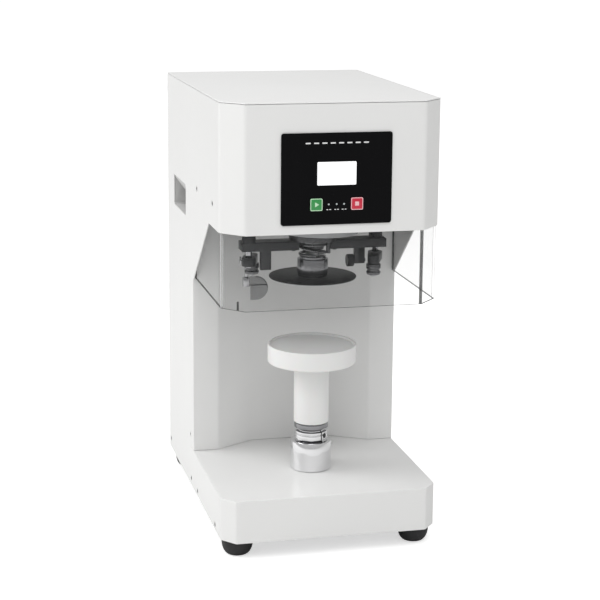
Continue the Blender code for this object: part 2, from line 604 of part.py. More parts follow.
# Turret: flanged tube, two beams, upper pulley and the stop pin
def make_turret():
    bore = CHUCK_ROD + 2 * RUNNING
    guide, guide_foot = SPIGOT[0], FLANGE_BOTTOM - SPIGOT[1]
    tube_wall = [(TURRET_TUBE, TURRET_TUBE_TOP), (TURRET_TUBE, FLANGE_TOP), (TURRET_RADIUS, FLANGE_TOP),
                 (TURRET_RADIUS, FLANGE_BOTTOM), (guide, FLANGE_BOTTOM), (guide, guide_foot),
                 (bore, guide_foot), (bore, TURRET_TUBE_TOP)]
    turned("turret_tube", tube_wall, DARK_STEEL, ring=True)
    bore = TURRET_TUBE + GAP
    rim = PULLEY_RADIUS + PULLEY_RIM
    pulley = [(rim, PULLEY_HIGH + 0.002), (rim, PULLEY_HIGH), (PULLEY_RADIUS, PULLEY_HIGH),
              (PULLEY_RADIUS, PULLEY_MID + 0.001), (bore, PULLEY_MID + 0.001), (bore, PULLEY_HIGH + 0.002)]
    turned("turret_pulley", pulley, STEEL, steps=32, ring=True)
    pin_at = at_spindle(*STOP_PIN)
    rod("stop_pin", STOP_PIN_RADIUS, SEAT_TOP + CHUCK_TRAVEL, FLANGE_BOTTOM - GAP, CHROME, pin_at, 16)
    inner = SPRING_RADIUS + 0.0018
    for side, name in ((1, "right"), (-1, "left")):
        bar = [(inner, -BEAM_WIDTH / 2), (BEAM_REACH, -BEAM_WIDTH / 2), (BEAM_REACH, BEAM_WIDTH / 2),
               (inner, BEAM_WIDTH / 2)]
        beam = prism(f"turret_beam_{name}", spin_outline(bar, side), BEAM_BOTTOM, BEAM_TOP, DARK_STEEL)
        pivot = at_spindle(*PIVOT, side)
        join(beam, rod(f"pivot_boss_{name}", 0.0085, BEAM_TOP - 0.001, BEAM_TOP + 0.008, DARK_STEEL,
                       pivot, 20))
        block = [BLOCK, (BLOCK_FACE, BLOCK[1]), (BLOCK_FACE, BEAM_WIDTH / 2), (BLOCK[0], BEAM_WIDTH / 2)]
        join(beam, prism(f"block_{name}", spin_outline(block, side), ARM_BOTTOM - BLOCK_BELOW,
                         BEAM_BOTTOM + 0.001, DARK_STEEL))
        cut(beam, rod(f"pivot_bore_{name}", ARM_SHAFT + 0.0004, ARM_TOP, FLANGE_TOP, DARK_STEEL,
                      pivot, 20))
        if side < 0:
            continue
        y = SPINDLE[1] + (BLOCK[1] + BEAM_WIDTH / 2) / 2
        z = ARM_BOTTOM - BLOCK_BELOW + 0.004
        low, high = BLOCK[0] - 0.0008, BLOCK_FACE + 0.0012
        cut(beam, cross_rod("screw_bore", ADJUSTER + GAP, (low, y, z), (high, y, z), DARK_STEEL, 16))
        screw = cross_rod("adjusting_screw", ADJUSTER, (low - KNOB[1] / 2, y, z), (high, y, z), CHROME, 16)
        join(screw, cross_rod("knob", KNOB[0], (low - KNOB[1], y, z), (low, y, z), CHROME, 20))


# Feed cam: two-lobed plate, its tube and its own belt pulley
def follower_at(turn):
    """Where the cam follower's middle is, from the spindle line, with the arm turned this far inwards."""
    x, y = FOLLOWER_AT[0] - PIVOT[0], FOLLOWER_AT[1] - PIVOT[1]
    return (PIVOT[0] + x * cos(turn) + y * sin(turn), PIVOT[1] - x * sin(turn) + y * cos(turn))


def cam_outline(count=24):
    """Half of the cam: a rise worked out from the follower's own path, then a smooth fall."""
    points = []
    for i in range(count + 1):
        share = i / count
        x, y = follower_at(ARM_SWING * share)
        points.append((atan2(y, x) - CAM_TURN * share, hypot(x, y) - FOLLOWER_RADIUS - CAM_CLEAR))
    first, last = points[0], points[-1]
    for i in range(1, count):
        share = i / count
        ease = share * share * (3 - 2 * share)
        angle = last[0] + (first[0] - pi - last[0]) * share
        points.append((angle, last[1] + (first[1] - last[1]) * ease))
    return [(r * cos(a), r * sin(a)) for a, r in points]


def make_cam():
    half = cam_outline()
    outline = spin_outline(half, 1) + spin_outline(half, -1)
    rim = PULLEY_RADIUS + PULLEY_RIM
    low = PULLEY_LOW - 0.0015
    profile = [(PULLEY_RADIUS, PULLEY_MID), (PULLEY_RADIUS, PULLEY_LOW), (rim, PULLEY_LOW), (rim, low),
               (CAM_TUBE, low), (CAM_TUBE, CAM_BOTTOM), (CAM_TUBE_BORE, CAM_BOTTOM),
               (CAM_TUBE_BORE, PULLEY_MID)]
    cam = turned("feed_cam", profile, STEEL, steps=32, ring=True)
    plate = prism("cam_plate", outline, CAM_BOTTOM, CAM_TOP, STEEL)
    cut(plate, rod("cam_bore", (CAM_TUBE + CAM_TUBE_BORE) / 2, CAM_BOTTOM - 0.01, CAM_TOP + 0.01, STEEL))
    join(cam, plate)


# Seaming arms: rocker shaft with its follower lever above, arm and roller below
def make_arms():
    for side, name in ((1, "right"), (-1, "left")):
        pivot, roller = at_spindle(*PIVOT, side), at_spindle(*ROLLER_AT, side)
        follower = at_spindle(*FOLLOWER_AT, side)
        arm = prism(f"seaming_arm_{name}", loop_round(pivot, PIVOT_BOSS, roller, ROLLER_BOSS, 12),
                    ARM_BOTTOM, ARM_TOP, DARK_STEEL)
        join(arm, rod(f"axle_{name}", 0.003, ROLLER_BOTTOM - 0.002, ARM_BOTTOM + 0.002, DARK_STEEL,
                      roller, 16))
        cut(arm, rod(f"arm_bore_{name}", ARM_SHAFT + GAP, ARM_BOTTOM - 0.01, ARM_TOP + 0.01, DARK_STEEL,
                     pivot, 20))
        lever_low = CAM_TOP + GAP
        shaft = rod(f"rocker_shaft_{name}", ARM_SHAFT, ARM_BOTTOM - 0.002, lever_low + 0.003, STEEL,
                    pivot, 20)
        join(shaft, prism(f"lever_{name}", loop_round(pivot, 0.008, follower, 0.005, 10), lever_low,
                          lever_low + 0.005, STEEL),
             rod(f"follower_{name}", FOLLOWER_RADIUS, CAM_BOTTOM + GAP, lever_low + 0.001, STEEL,
                 follower, 20))
        waist = ROLLER_BOTTOM + ROLLER_HEIGHT * 0.42
        profile = [(ROLLER_RADIUS - 0.001, ROLLER_TOP), (ROLLER_RADIUS, ROLLER_TOP - 0.001),
                   (ROLLER_RADIUS, waist + 0.0022), (ROLLER_RADIUS - 0.0014, waist + 0.001),
                   (ROLLER_RADIUS - 0.0014, waist - 0.001), (ROLLER_RADIUS, waist - 0.0022),
                   (ROLLER_RADIUS - 0.0012, ROLLER_BOTTOM), (0.003 + RUNNING, ROLLER_BOTTOM),
                   (0.003 + RUNNING, ROLLER_TOP)]
        turned(f"seaming_roller_{name}", profile, DARK_STEEL, roller, 28, ring=True)


# Chuck: thin black disc on a steel hub, rod through the turret, spring and top nut
def spring_points():
    """Middle line of the spring's wire: close turns at the top, one steep turn, then a flat end turn."""
    mean = SPRING_RADIUS - SPRING_WIRE
    low = SEAT_TOP + GAP + SPRING_WIRE
    high = FLANGE_BOTTOM - GAP - SPRING_WIRE
    start, end, count = -0.85 * pi, 5.5 * pi, 76
    close = 2 * SPRING_WIRE + GAP
    steep_from, steep_to = 2.3 * pi, 4.5 * pi
    for i in range(count + 1):
        angle = start + (end - start) * i / count
        wound = close * min(1.0, max(0.0, (angle - start) / tau))
        share = min(1.0, max(0.0, (angle - steep_from) / (steep_to - steep_from)))
        ease = share * share * (3 - 2 * share)
        yield (mean * cos(angle), mean * sin(angle), high - wound + (low - high + close) * ease)


def make_chuck():
    bore = CHUCK_ROD + GAP
    hub = [(SEAT_RADIUS - 0.001, SEAT_TOP), (SEAT_RADIUS, SEAT_TOP - 0.001), (SEAT_RADIUS, HUB_TOP),
           (HUB_RADIUS - 0.0015, HUB_TOP), (HUB_RADIUS, HUB_TOP - 0.0015),
           (HUB_RADIUS, HUB_BOTTOM + 0.0025), (HUB_RADIUS - 0.0015, HUB_BOTTOM), (0.0, HUB_BOTTOM)]
    body = turned("chuck_hub", [(0.0, SEAT_TOP)] + hub, STEEL, steps=32)
    cut(body, rod("hub_bore", bore, HUB_BOTTOM + 0.004, SEAT_TOP + 0.01, STEEL))
    disc = [(0.0, DISC_TOP), (CHUCK_RADIUS - 0.0006, DISC_TOP), (CHUCK_RADIUS, DISC_TOP - 0.0006),
            (CHUCK_RADIUS, DISC_BOTTOM + 0.0004), (CHUCK_RADIUS - 0.0004, DISC_BOTTOM), (0.0, DISC_BOTTOM)]
    turned("chuck_disc", disc, BLACK, steps=48)
    nut_bottom = BRIDGE_TOP + GAP
    rod("chuck_rod", CHUCK_ROD, HUB_BOTTOM + 0.004 + GAP, nut_bottom + 0.016, STEEL)
    nut_top = nut_bottom + 0.010
    nut = prism("chuck_nut", arc(SPINDLE, 0.015, 0.0, tau * 5 / 6, 5), nut_bottom, nut_top, STEEL)
    cut(nut, rod("nut_bore", bore, nut_bottom - 0.01, nut_top + 0.01, STEEL))
    curve = bpy.data.curves.new("chuck_spring", "CURVE")
    curve.dimensions = "3D"
    curve.bevel_depth = SPRING_WIRE
    curve.bevel_resolution = 2
    curve.use_fill_caps = True
    line = curve.splines.new("POLY")
    points = list(spring_points())
    line.points.add(len(points) - 1)
    for slot, point in zip(line.points, points):
        slot.co = (*point, 1.0)
    curve.materials.append(DARK_STEEL)
    spring = bpy.data.objects.new("chuck_spring", curve)
    spring.location = (*SPINDLE, 0.0)
    PARTS.objects.link(spring)
    leg, foot = PULLEY_RADIUS + PULLEY_RIM + 0.006, PLATE_TOP + GAP
    arch = [(-leg - 0.008, foot), (-leg, foot), (-leg, BRIDGE_BOTTOM), (leg, BRIDGE_BOTTOM), (leg, foot),
            (leg + 0.008, foot), (leg + 0.008, BRIDGE_TOP), (-leg - 0.008, BRIDGE_TOP)]
    bridge = prism("spindle_bridge", arch, SPINDLE[1] - 0.010, SPINDLE[1] + 0.010, STEEL, "Y")
    cut(bridge, rod("bridge_bore", bore, BRIDGE_BOTTOM - 0.01, BRIDGE_TOP + 0.01, STEEL))


# Lift: fixed sleeve, screw, rod with clamp collar, nylon post and tray
def make_lift():
    bore = LIFT_ROD + 0.0005
    sleeve = [(LIFT_SLEEVE_RADIUS - 0.0015, SLEEVE_TOP), (LIFT_SLEEVE_RADIUS, SLEEVE_TOP - 0.0015),
              (LIFT_SLEEVE_RADIUS, SLEEVE_BOTTOM), (bore, SLEEVE_BOTTOM), (bore, SLEEVE_TOP - 0.004),
              (bore + 0.005, SLEEVE_TOP)]
    turned("lift_sleeve", sleeve, CHROME, steps=32, ring=True)
    screw_bore = LIFT_SCREW + 0.0005
    rod_bottom = LIFT_PULLEY_LOW + LIFT_PULLEY_FACE + 0.006
    flange = COLLAR_RADIUS + 0.0005
    outline = [(0.0, ROD_TOP + POST_FLANGE), (flange, ROD_TOP + POST_FLANGE), (flange, ROD_TOP + 0.001),
               (flange - 0.001, ROD_TOP), (LIFT_ROD, ROD_TOP), (LIFT_ROD, rod_bottom), (screw_bore, rod_bottom),
               (screw_bore, ROD_TOP), (0.0, ROD_TOP)]
    turned("lift_rod", outline, STEEL, steps=32)
    collar = tube("clamp_collar", COLLAR_RADIUS, LIFT_ROD + GAP, COLLAR_BOTTOM, COLLAR_TOP, CHROME, steps=32)
    cut(collar, box("collar_slit", (0.008, SPINDLE[1] - 0.022, COLLAR_BOTTOM - 0.01),
                    (0.0095, SPINDLE[1] - 0.008, COLLAR_TOP + 0.01), CHROME))
    rod("nylon_post", POST_RADIUS, POST_BOTTOM, POST_TOP, NYLON, steps=32)
    inside = TRAY_RADIUS - TRAY_RIM
    floor = TRAY_TOP - TRAY_RECESS
    tray = [(0.0, floor), (inside, floor), (inside, TRAY_TOP), (TRAY_RADIUS - 0.001, TRAY_TOP),
            (TRAY_RADIUS, TRAY_TOP - 0.001), (TRAY_RADIUS, TRAY_BOTTOM + 0.001),
            (TRAY_RADIUS - 0.001, TRAY_BOTTOM), (0.0, TRAY_BOTTOM)]
    turned("tray", tray, NYLON, steps=48)
    face_top = LIFT_PULLEY_LOW + LIFT_PULLEY_FACE
    screw = [(0.0, SLEEVE_TOP - 0.008), (LIFT_SCREW, SLEEVE_TOP - 0.008), (LIFT_SCREW, face_top + 0.0015),
             (LIFT_PULLEY + 0.002, face_top + 0.0015), (LIFT_PULLEY + 0.002, face_top),
             (LIFT_PULLEY, face_top), (LIFT_PULLEY, LIFT_PULLEY_LOW), (LIFT_PULLEY + 0.002, LIFT_PULLEY_LOW),
             (LIFT_PULLEY + 0.002, LIFT_PULLEY_LOW - 0.0015), (LIFT_SCREW, LIFT_PULLEY_LOW - 0.0015),
             (LIFT_SCREW, BASE_BOTTOM + BASE_PLATE + GAP), (0.0, BASE_BOTTOM + BASE_PLATE + GAP)]
    turned("lift_screw", screw, STEEL, steps=24)
    motor_at = (0.0, LIFT_MOTOR_Y)
    small = [(0.0, face_top + 0.0042), (0.004, face_top + 0.0042), (0.004, face_top + 0.0015),
             (LIFT_MOTOR_PULLEY + 0.002, face_top + 0.0015), (LIFT_MOTOR_PULLEY + 0.002, face_top),
             (LIFT_MOTOR_PULLEY, face_top), (LIFT_MOTOR_PULLEY, LIFT_PULLEY_LOW),
             (LIFT_MOTOR_PULLEY + 0.002, LIFT_PULLEY_LOW),
             (LIFT_MOTOR_PULLEY + 0.002, LIFT_PULLEY_LOW - 0.0015), (0.0, LIFT_PULLEY_LOW - 0.0015)]
    turned("lift_motor_pulley", small, STEEL, motor_at, 24)
    motor_low = face_top + 0.0045
    motor = rod("lift_motor", LIFT_MOTOR_RADIUS, motor_low, motor_low + LIFT_MOTOR_LENGTH, DARK_STEEL,
                motor_at, 28)
    wide = LIFT_MOTOR_RADIUS + 0.008
    stand = [(-wide, BASE_BOTTOM + BASE_PLATE + GAP), (-wide + 0.004, BASE_BOTTOM + BASE_PLATE + GAP),
             (-wide + 0.004, motor_low), (wide - 0.004, motor_low),
             (wide - 0.004, BASE_BOTTOM + BASE_PLATE + GAP), (wide, BASE_BOTTOM + BASE_PLATE + GAP),
             (wide, motor_low + 0.004), (-wide, motor_low + 0.004)]
    join(motor, prism("lift_motor_stand", stand, LIFT_MOTOR_Y - 0.020, LIFT_MOTOR_Y + 0.020, STEEL, "Y"))
    belt_low, belt_high = LIFT_PULLEY_LOW + 0.001, face_top - 0.001
    outer = loop_round(SPINDLE, LIFT_PULLEY + GAP + 0.0015, motor_at, LIFT_MOTOR_PULLEY + GAP + 0.0015, 20)
    inner = loop_round(SPINDLE, LIFT_PULLEY + GAP, motor_at, LIFT_MOTOR_PULLEY + GAP, 20)
    belt = prism("lift_belt", outer, belt_low, belt_high, RUBBER)
    cut(belt, prism("lift_belt_inside", inner, belt_low - 0.01, belt_high + 0.01, RUBBER))


# Control panel: face plate, window, two push buttons and the board behind
def make_controls():
    middle = (PANEL_BOTTOM + PANEL_TOP) / 2
    face = rounded_rectangle((0.0, middle), PANEL_WIDTH, PANEL_HEIGHT, 0.003)
    panel = prism("control_panel", face, PANEL_FACE, PANEL_BACK, BLACK, "Y")
    window_z = PANEL_TOP - WINDOW_DROP
    button_z = PANEL_BOTTOM + BUTTON_RISE
    hole = rounded_rectangle((0.0, window_z), WINDOW[0] + 2 * GAP, WINDOW[1] + 2 * GAP, 0.001, 2)
    cut(panel, prism("window_hole", hole, PANEL_FACE - 0.01, PANEL_BACK + 0.01, BLACK, "Y"))
    board_face = FRONT + 0.0100
    window = rounded_rectangle((0.0, window_z), *WINDOW, 0.0009, 2)
    prism("display_window", window, PANEL_FACE - 0.0002, board_face - GAP, SCREEN, "Y")
    for name, x, colour in (("start_button", -BUTTON_SPREAD, GREEN), ("stop_button", BUTTON_SPREAD, RED)):
        cap = rounded_rectangle((x, button_z), BUTTON, BUTTON, 0.0015, 2)
        hole = rounded_rectangle((x, button_z), BUTTON + 2 * GAP, BUTTON + 2 * GAP, 0.0017, 2)
        cut(panel, prism(f"{name}_hole", hole, PANEL_FACE - 0.01, PANEL_BACK + 0.01, BLACK, "Y"))
        prism(name, cap, PANEL_FACE - BUTTON_PROUD, board_face - 0.0030, colour, "Y")
    box("control_board", (-0.052, board_face, PANEL_BOTTOM + 0.014), (0.052, board_face + 0.0016,
                                                                      PANEL_TOP - 0.014), BOARD)


# Rear: mains inlet and rocker switch
def make_power():
    x, z = INLET_AT
    body = prism("mains_inlet", rounded_rectangle((x, z), 0.0280, 0.0200, 0.002), REAR - 0.022,
                 REAR + 0.001, BLACK, "Y")
    flange = rounded_rectangle((x, z), 0.040, 0.026, 0.003)
    proud = REAR + GAP + PANEL_THICK + BUTTON_PROUD
    join(body, prism("inlet_flange", flange, REAR + GAP, proud, BLACK, "Y"))
    socket = rounded_rectangle((x, z), 0.0245, 0.0165, 0.003)
    cut(body, prism("socket", socket, REAR - 0.016, REAR + 0.01, BLACK, "Y"))
    x, z = SWITCH_AT
    swing = 0.0095
    half = 0.0062
    profile = [(REAR - 0.006, z - 0.006), (REAR - 0.006, z + 0.006), (REAR + 0.0002, z + 0.0088),
               (REAR + 0.0018, z + 0.0080), (REAR + 0.0006, z), (REAR + 0.0002, z - swing + 0.0007)]
    prism("power_switch", profile, x - half, x + half, BLACK, "X")


# Side stop: hanging rod with lock nut and clamp, and the half-round plate it holds
def make_stop():
    at = at_spindle(*STOP_AT)
    top = PLATE_BOTTOM - GAP
    clamp_low = HEAD_BOTTOM - STOP_CLAMP_DROP
    nut_low = HEAD_BOTTOM - STOP_NUT_DROP
    thin, wide, nut = 0.0025, 0.005, 0.004
    profile = [(0.0, top), (thin, top)]
    for low, height in ((nut_low + 0.007, nut), (nut_low, nut), (clamp_low, 0.0115)):
        profile += [(thin, low + height), (wide, low + height), (wide, low), (thin, low)]
    profile[-1] = (0.0, clamp_low)
    turned("stop_rod", profile, CHROME, at, 20)
    x = at[0] + wide + GAP
    radius = 0.0155
    middle = (x + 0.0075, clamp_low - 0.003)
    plate = [(x, middle[1] - radius), *arc(middle, radius, -pi / 2, pi / 2, 16), (x, middle[1] + radius)]
    prism("stop_plate", plate, at[1] - 0.001, at[1] + 0.001, CLEAR, "Y")


# Joint centres: one empty for each moving body, its pieces parented to it
def hang(name, where, *pieces):
    pivot = bpy.data.objects.new(f"{name}_axis", None)
    pivot.empty_display_size = 0.02
    pivot.location = where
    PARTS.objects.link(pivot)
    for piece in pieces:
        made = PARTS.objects[piece]
        made.parent = pivot
        made.location = made.location - Vector(where)


make_base()
make_body()
make_guard()
make_handles()
make_frame()
make_drive()
make_turret()
make_cam()
make_arms()
make_chuck()
make_lift()
make_controls()
make_power()
make_stop()

spindle_point = (*SPINDLE, FLANGE_TOP)
hang("turret", spindle_point, "turret_tube", "turret_pulley", "stop_pin", "turret_beam_right",
     "turret_beam_left", "adjusting_screw")
hang("feed_cam", spindle_point, "feed_cam")
hang("chuck", (*SPINDLE, DISC_BOTTOM), "chuck_rod", "chuck_hub", "chuck_disc", "chuck_nut")
hang("lift", (*SPINDLE, TRAY_BOTTOM), "lift_rod", "clamp_collar", "nylon_post", "tray")
hang("lift_screw", (*SPINDLE, LIFT_PULLEY_LOW), "lift_screw")
hang("motor", (0.0, MOTOR_Y, PULLEY_LOW), "motor_pulley")
hang("lift_motor", (0.0, LIFT_MOTOR_Y, LIFT_PULLEY_LOW), "lift_motor_pulley")
for side, name in ((1, "right"), (-1, "left")):
    hang(f"arm_{name}", (*at_spindle(*PIVOT, side), ARM_TOP), f"seaming_arm_{name}", f"rocker_shaft_{name}")
    hang(f"roller_{name}", (*at_spindle(*ROLLER_AT, side), ROLLER_TOP), f"seaming_roller_{name}")
hang("start_button", (-BUTTON_SPREAD, PANEL_FACE, PANEL_BOTTOM + BUTTON_RISE), "start_button")
hang("stop_button", (BUTTON_SPREAD, PANEL_FACE, PANEL_BOTTOM + BUTTON_RISE), "stop_button")
hang("power_switch", (SWITCH_AT[0], REAR - 0.003, SWITCH_AT[1]), "power_switch")

# Modifiers applied, so that round faces can be shaded smooth and real edges stay sharp
bpy.context.view_layer.update()
graph = bpy.context.evaluated_depsgraph_get()
solids = [piece for piece in PARTS.objects if piece.type == "MESH"]
shapes = [bpy.data.meshes.new_from_object(piece.evaluated_get(graph)) for piece in solids]
for piece, shape in zip(solids, shapes):
    piece.modifiers.clear()
    piece.data = shape
    shape.name = piece.name
    shape.shade_smooth()
    shape.set_sharp_from_angle(angle=radians(32))
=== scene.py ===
"""Finished look of a bench-top can seamer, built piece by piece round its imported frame."""

from math import cos, pi, radians, sin, tau

import bmesh
import bpy
from mathutils import Matrix, Vector


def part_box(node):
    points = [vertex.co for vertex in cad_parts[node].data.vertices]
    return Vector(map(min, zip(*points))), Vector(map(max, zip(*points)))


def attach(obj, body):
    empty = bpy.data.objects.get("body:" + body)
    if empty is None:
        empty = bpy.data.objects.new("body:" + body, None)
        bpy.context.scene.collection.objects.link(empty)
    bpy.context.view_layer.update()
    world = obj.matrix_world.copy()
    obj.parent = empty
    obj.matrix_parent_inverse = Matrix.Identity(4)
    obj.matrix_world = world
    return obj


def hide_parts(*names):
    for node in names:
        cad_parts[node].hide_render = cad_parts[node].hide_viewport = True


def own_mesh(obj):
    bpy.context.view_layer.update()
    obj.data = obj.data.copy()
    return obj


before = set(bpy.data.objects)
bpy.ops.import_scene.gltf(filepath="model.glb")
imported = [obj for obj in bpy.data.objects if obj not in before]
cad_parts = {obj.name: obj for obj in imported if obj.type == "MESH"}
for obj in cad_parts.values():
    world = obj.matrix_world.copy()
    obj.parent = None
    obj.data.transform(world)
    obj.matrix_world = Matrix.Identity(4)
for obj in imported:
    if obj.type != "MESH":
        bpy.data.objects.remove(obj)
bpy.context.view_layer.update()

# Base cover. One folded sheet of 1.5 mm steel, powder coated white. Its deck and its front
# wall meet in tight bends, and the deck is bored for the lift rod.
HALF_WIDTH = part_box("top_cover")[1].x
FRONT_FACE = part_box("top_cover")[0].y
REAR_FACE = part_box("top_cover")[1].y
SPINDLE = Vector((0.0, (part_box("tray")[0].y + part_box("tray")[1].y) / 2, 0.0))


def group(name, inputs, outputs):
    """An empty shader node group with these sockets, and the nodes of its inputs and its outputs."""
    made = bpy.data.node_groups.new(name, "ShaderNodeTree")
    for title, kind in inputs:
        made.interface.new_socket(name=title, in_out="INPUT", socket_type=kind)
    for title, kind in outputs:
        made.interface.new_socket(name=title, in_out="OUTPUT", socket_type=kind)
    return made, made.nodes.new("NodeGroupInput"), made.nodes.new("NodeGroupOutput")


def mixed(nodes, links, share, first, second, target):
    """A colour mix of two sockets by a third, led to a target socket."""
    mix = nodes.new("ShaderNodeMix")
    mix.data_type = "RGBA"
    links.new(share, mix.inputs[0])
    links.new(first, mix.inputs[6])
    links.new(second, mix.inputs[7])
    links.new(mix.outputs[2], target)


def ranged(nodes, links, value, low, high, target):
    """A noise value brought from its usual spread to between two sockets."""
    span = nodes.new("ShaderNodeMapRange")
    span.inputs["From Min"].default_value = 0.3
    span.inputs["From Max"].default_value = 0.7
    links.new(value, span.inputs["Value"])
    links.new(low, span.inputs["To Min"])
    links.new(high, span.inputs["To Max"])
    links.new(span.outputs[0], target)


FLOAT, COLOUR, VECTOR = "NodeSocketFloat", "NodeSocketColor", "NodeSocketVector"
skin, skin_in, skin_out = group(
    "Surface skin",
    [("Place", VECTOR), ("Grain", FLOAT), ("Patches", FLOAT), ("Colour", COLOUR), ("Shade", COLOUR),
     ("Smooth", FLOAT), ("Rough", FLOAT)],
    [("Colour", COLOUR), ("Roughness", FLOAT), ("Height", FLOAT)])
fine = skin.nodes.new("ShaderNodeTexNoise")
fine.inputs["Detail"].default_value = 3.0
broad = skin.nodes.new("ShaderNodeTexNoise")
broad.inputs["Detail"].default_value = 4.0
skin.links.new(skin_in.outputs["Place"], fine.inputs["Vector"])
skin.links.new(skin_in.outputs["Place"], broad.inputs["Vector"])
skin.links.new(skin_in.outputs["Grain"], fine.inputs["Scale"])
skin.links.new(skin_in.outputs["Patches"], broad.inputs["Scale"])
skin.links.new(fine.outputs[0], skin_out.inputs["Height"])
ranged(skin.nodes, skin.links, broad.outputs[0], skin_in.outputs["Smooth"],
       skin_in.outputs["Rough"], skin_out.inputs["Roughness"])
mixed(skin.nodes, skin.links, broad.outputs[0], skin_in.outputs["Colour"],
      skin_in.outputs["Shade"], skin_out.inputs["Colour"])

rings, rings_in, rings_out = group("Turning rings", [("Place", VECTOR)], [("Place", VECTOR)])
parts = rings.nodes.new("ShaderNodeSeparateXYZ")
plan = rings.nodes.new("ShaderNodeCombineXYZ")
reach = rings.nodes.new("ShaderNodeVectorMath")
reach.operation = "LENGTH"
round_place = rings.nodes.new("ShaderNodeCombineXYZ")
rings.links.new(rings_in.outputs["Place"], parts.inputs[0])
rings.links.new(parts.outputs["X"], plan.inputs["X"])
rings.links.new(parts.outputs["Y"], plan.inputs["Y"])
rings.links.new(plan.outputs[0], reach.inputs[0])
rings.links.new(reach.outputs["Value"], round_place.inputs["X"])
rings.links.new(parts.outputs["Z"], round_place.inputs["Y"])
rings.links.new(round_place.outputs[0], rings_out.inputs["Place"])


def finish(name, colour, shade, roughness, grain, relief, metallic=0.0, stretch=(1, 1, 1),
           turned_at=None, patches=14.0):
    """A Principled material whose colour, gloss and relief vary over the surface."""
    made = bpy.data.materials.new(name)
    made.use_nodes = True
    nodes, links = made.node_tree.nodes, made.node_tree.links
    shader = nodes["Principled BSDF"]
    shader.inputs["Metallic"].default_value = metallic
    place = nodes.new("ShaderNodeTexCoord").outputs["Object"]
    mapping = nodes.new("ShaderNodeMapping")
    mapping.inputs["Scale"].default_value = stretch
    links.new(place, mapping.inputs["Vector"])
    place = mapping.outputs[0]
    if turned_at is not None:
        mapping.inputs["Location"].default_value = (-turned_at[0], -turned_at[1], 0.0)
        turning = nodes.new("ShaderNodeGroup")
        turning.node_tree = rings
        links.new(place, turning.inputs[0])
        place = turning.outputs[0]
    look = nodes.new("ShaderNodeGroup")
    look.node_tree = skin
    links.new(place, look.inputs["Place"])
    for title, value in (("Grain", grain), ("Patches", patches), ("Colour", (*colour, 1.0)),
                         ("Shade", (*shade, 1.0)), ("Smooth", roughness[0]), ("Rough", roughness[1])):
        look.inputs[title].default_value = value
    bump = nodes.new("ShaderNodeBump")
    bump.inputs["Distance"].default_value = relief
    bump.inputs["Strength"].default_value = 0.5
    links.new(look.outputs["Colour"], shader.inputs["Base Color"])
    links.new(look.outputs["Roughness"], shader.inputs["Roughness"])
    links.new(look.outputs["Height"], bump.inputs["Height"])
    links.new(bump.outputs[0], shader.inputs["Normal"])
    return made


def shader_of(material):
    return material.node_tree.nodes["Principled BSDF"]


def settle(name, bm, material, body, nodes=(), smooth=32, flats=False):
    """Makes a piece of a bmesh: its finish, the body it moves with, and the frame nodes it stands for.
    A piece with broad flats is shaded by them, so that its rounded edges don't tint them."""
    mesh = bpy.data.meshes.new(name)
    bm.to_mesh(mesh)
    bm.free()
    mesh.materials.append(material)
    mesh.shade_smooth()
    mesh.set_sharp_from_angle(angle=radians(smooth))
    made = bpy.data.objects.new(name, mesh)
    bpy.context.scene.collection.objects.link(made)
    if flats:
        made.modifiers.new("even flats", "WEIGHTED_NORMAL").keep_sharp = True
    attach(made, body)
    if nodes:
        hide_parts(*nodes)
    return made


def soften(bm, width, steeper=30, segments=2, chosen=None):
    """Rounds the edges where faces meet more steeply than this, and returns the faces made."""
    edges = [edge for edge in bm.edges if len(edge.link_faces) == 2
             and edge.calc_face_angle() > radians(steeper) and (chosen is None or chosen(edge))]
    return bmesh.ops.bevel(bm, geom=edges, offset=width, offset_type="OFFSET", segments=segments,
                           profile=0.5, affect="EDGES", clamp_overlap=False, material=-1)["faces"]


def copied(node):
    """A merged copy of a frame node's shape."""
    bm = bmesh.new()
    bm.from_mesh(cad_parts[node].data)
    bmesh.ops.remove_doubles(bm, verts=bm.verts, dist=0.000002)
    bmesh.ops.dissolve_limit(bm, angle_limit=radians(0.5), verts=bm.verts, edges=bm.edges)
    return bm


powder = finish("white powder coat", (0.80, 0.80, 0.79), (0.77, 0.77, 0.765), (0.36, 0.46), 1500.0,
                0.00006, patches=9.0)
shader_of(powder).inputs["Coat Weight"].default_value = 0.12
shader_of(powder).inputs["Coat Roughness"].default_value = 0.25


def upright(edge):
    """Whether an edge stands straight up."""
    a, b = (vert.co for vert in edge.verts)
    return abs(a.z - b.z) > 0.9 * (a - b).length


def folded(node, bend=0.0022, edge=0.00035):
    """A sheet-metal cover with its bends rounded and its cut edges broken."""
    bm = copied(node)
    soften(bm, bend, 12, 4, lambda one: upright(one) and one.calc_face_angle() < radians(75)
           and one.calc_face_angle_signed() > 0 and one.calc_length() > 0.02)
    soften(bm, edge, 50, 2)
    return settle(node + "_sheet", bm, powder, "frame", [node], 24, True)


folded("base_cover", 0.0020, 0.0007)

# Base plate. Sawn mild steel, plain and lightly brushed, screwed up into the cover.
brushed = finish("brushed steel", (0.44, 0.445, 0.45), (0.36, 0.365, 0.37), (0.28, 0.42), 60.0,
                 0.00003, 1.0, stretch=(1, 14, 14), patches=7.0)
plate = copied("base_plate")
soften(plate, 0.0003)
settle("base_plate_steel", plate, brushed, "frame", ["base_plate"], flats=True)

# Feet. Four moulded black rubber feet, dome sided, each with a flat end on the bench.
rubber = finish("black rubber", (0.012, 0.012, 0.013), (0.022, 0.022, 0.023), (0.55, 0.75), 2200.0, 0.00006)


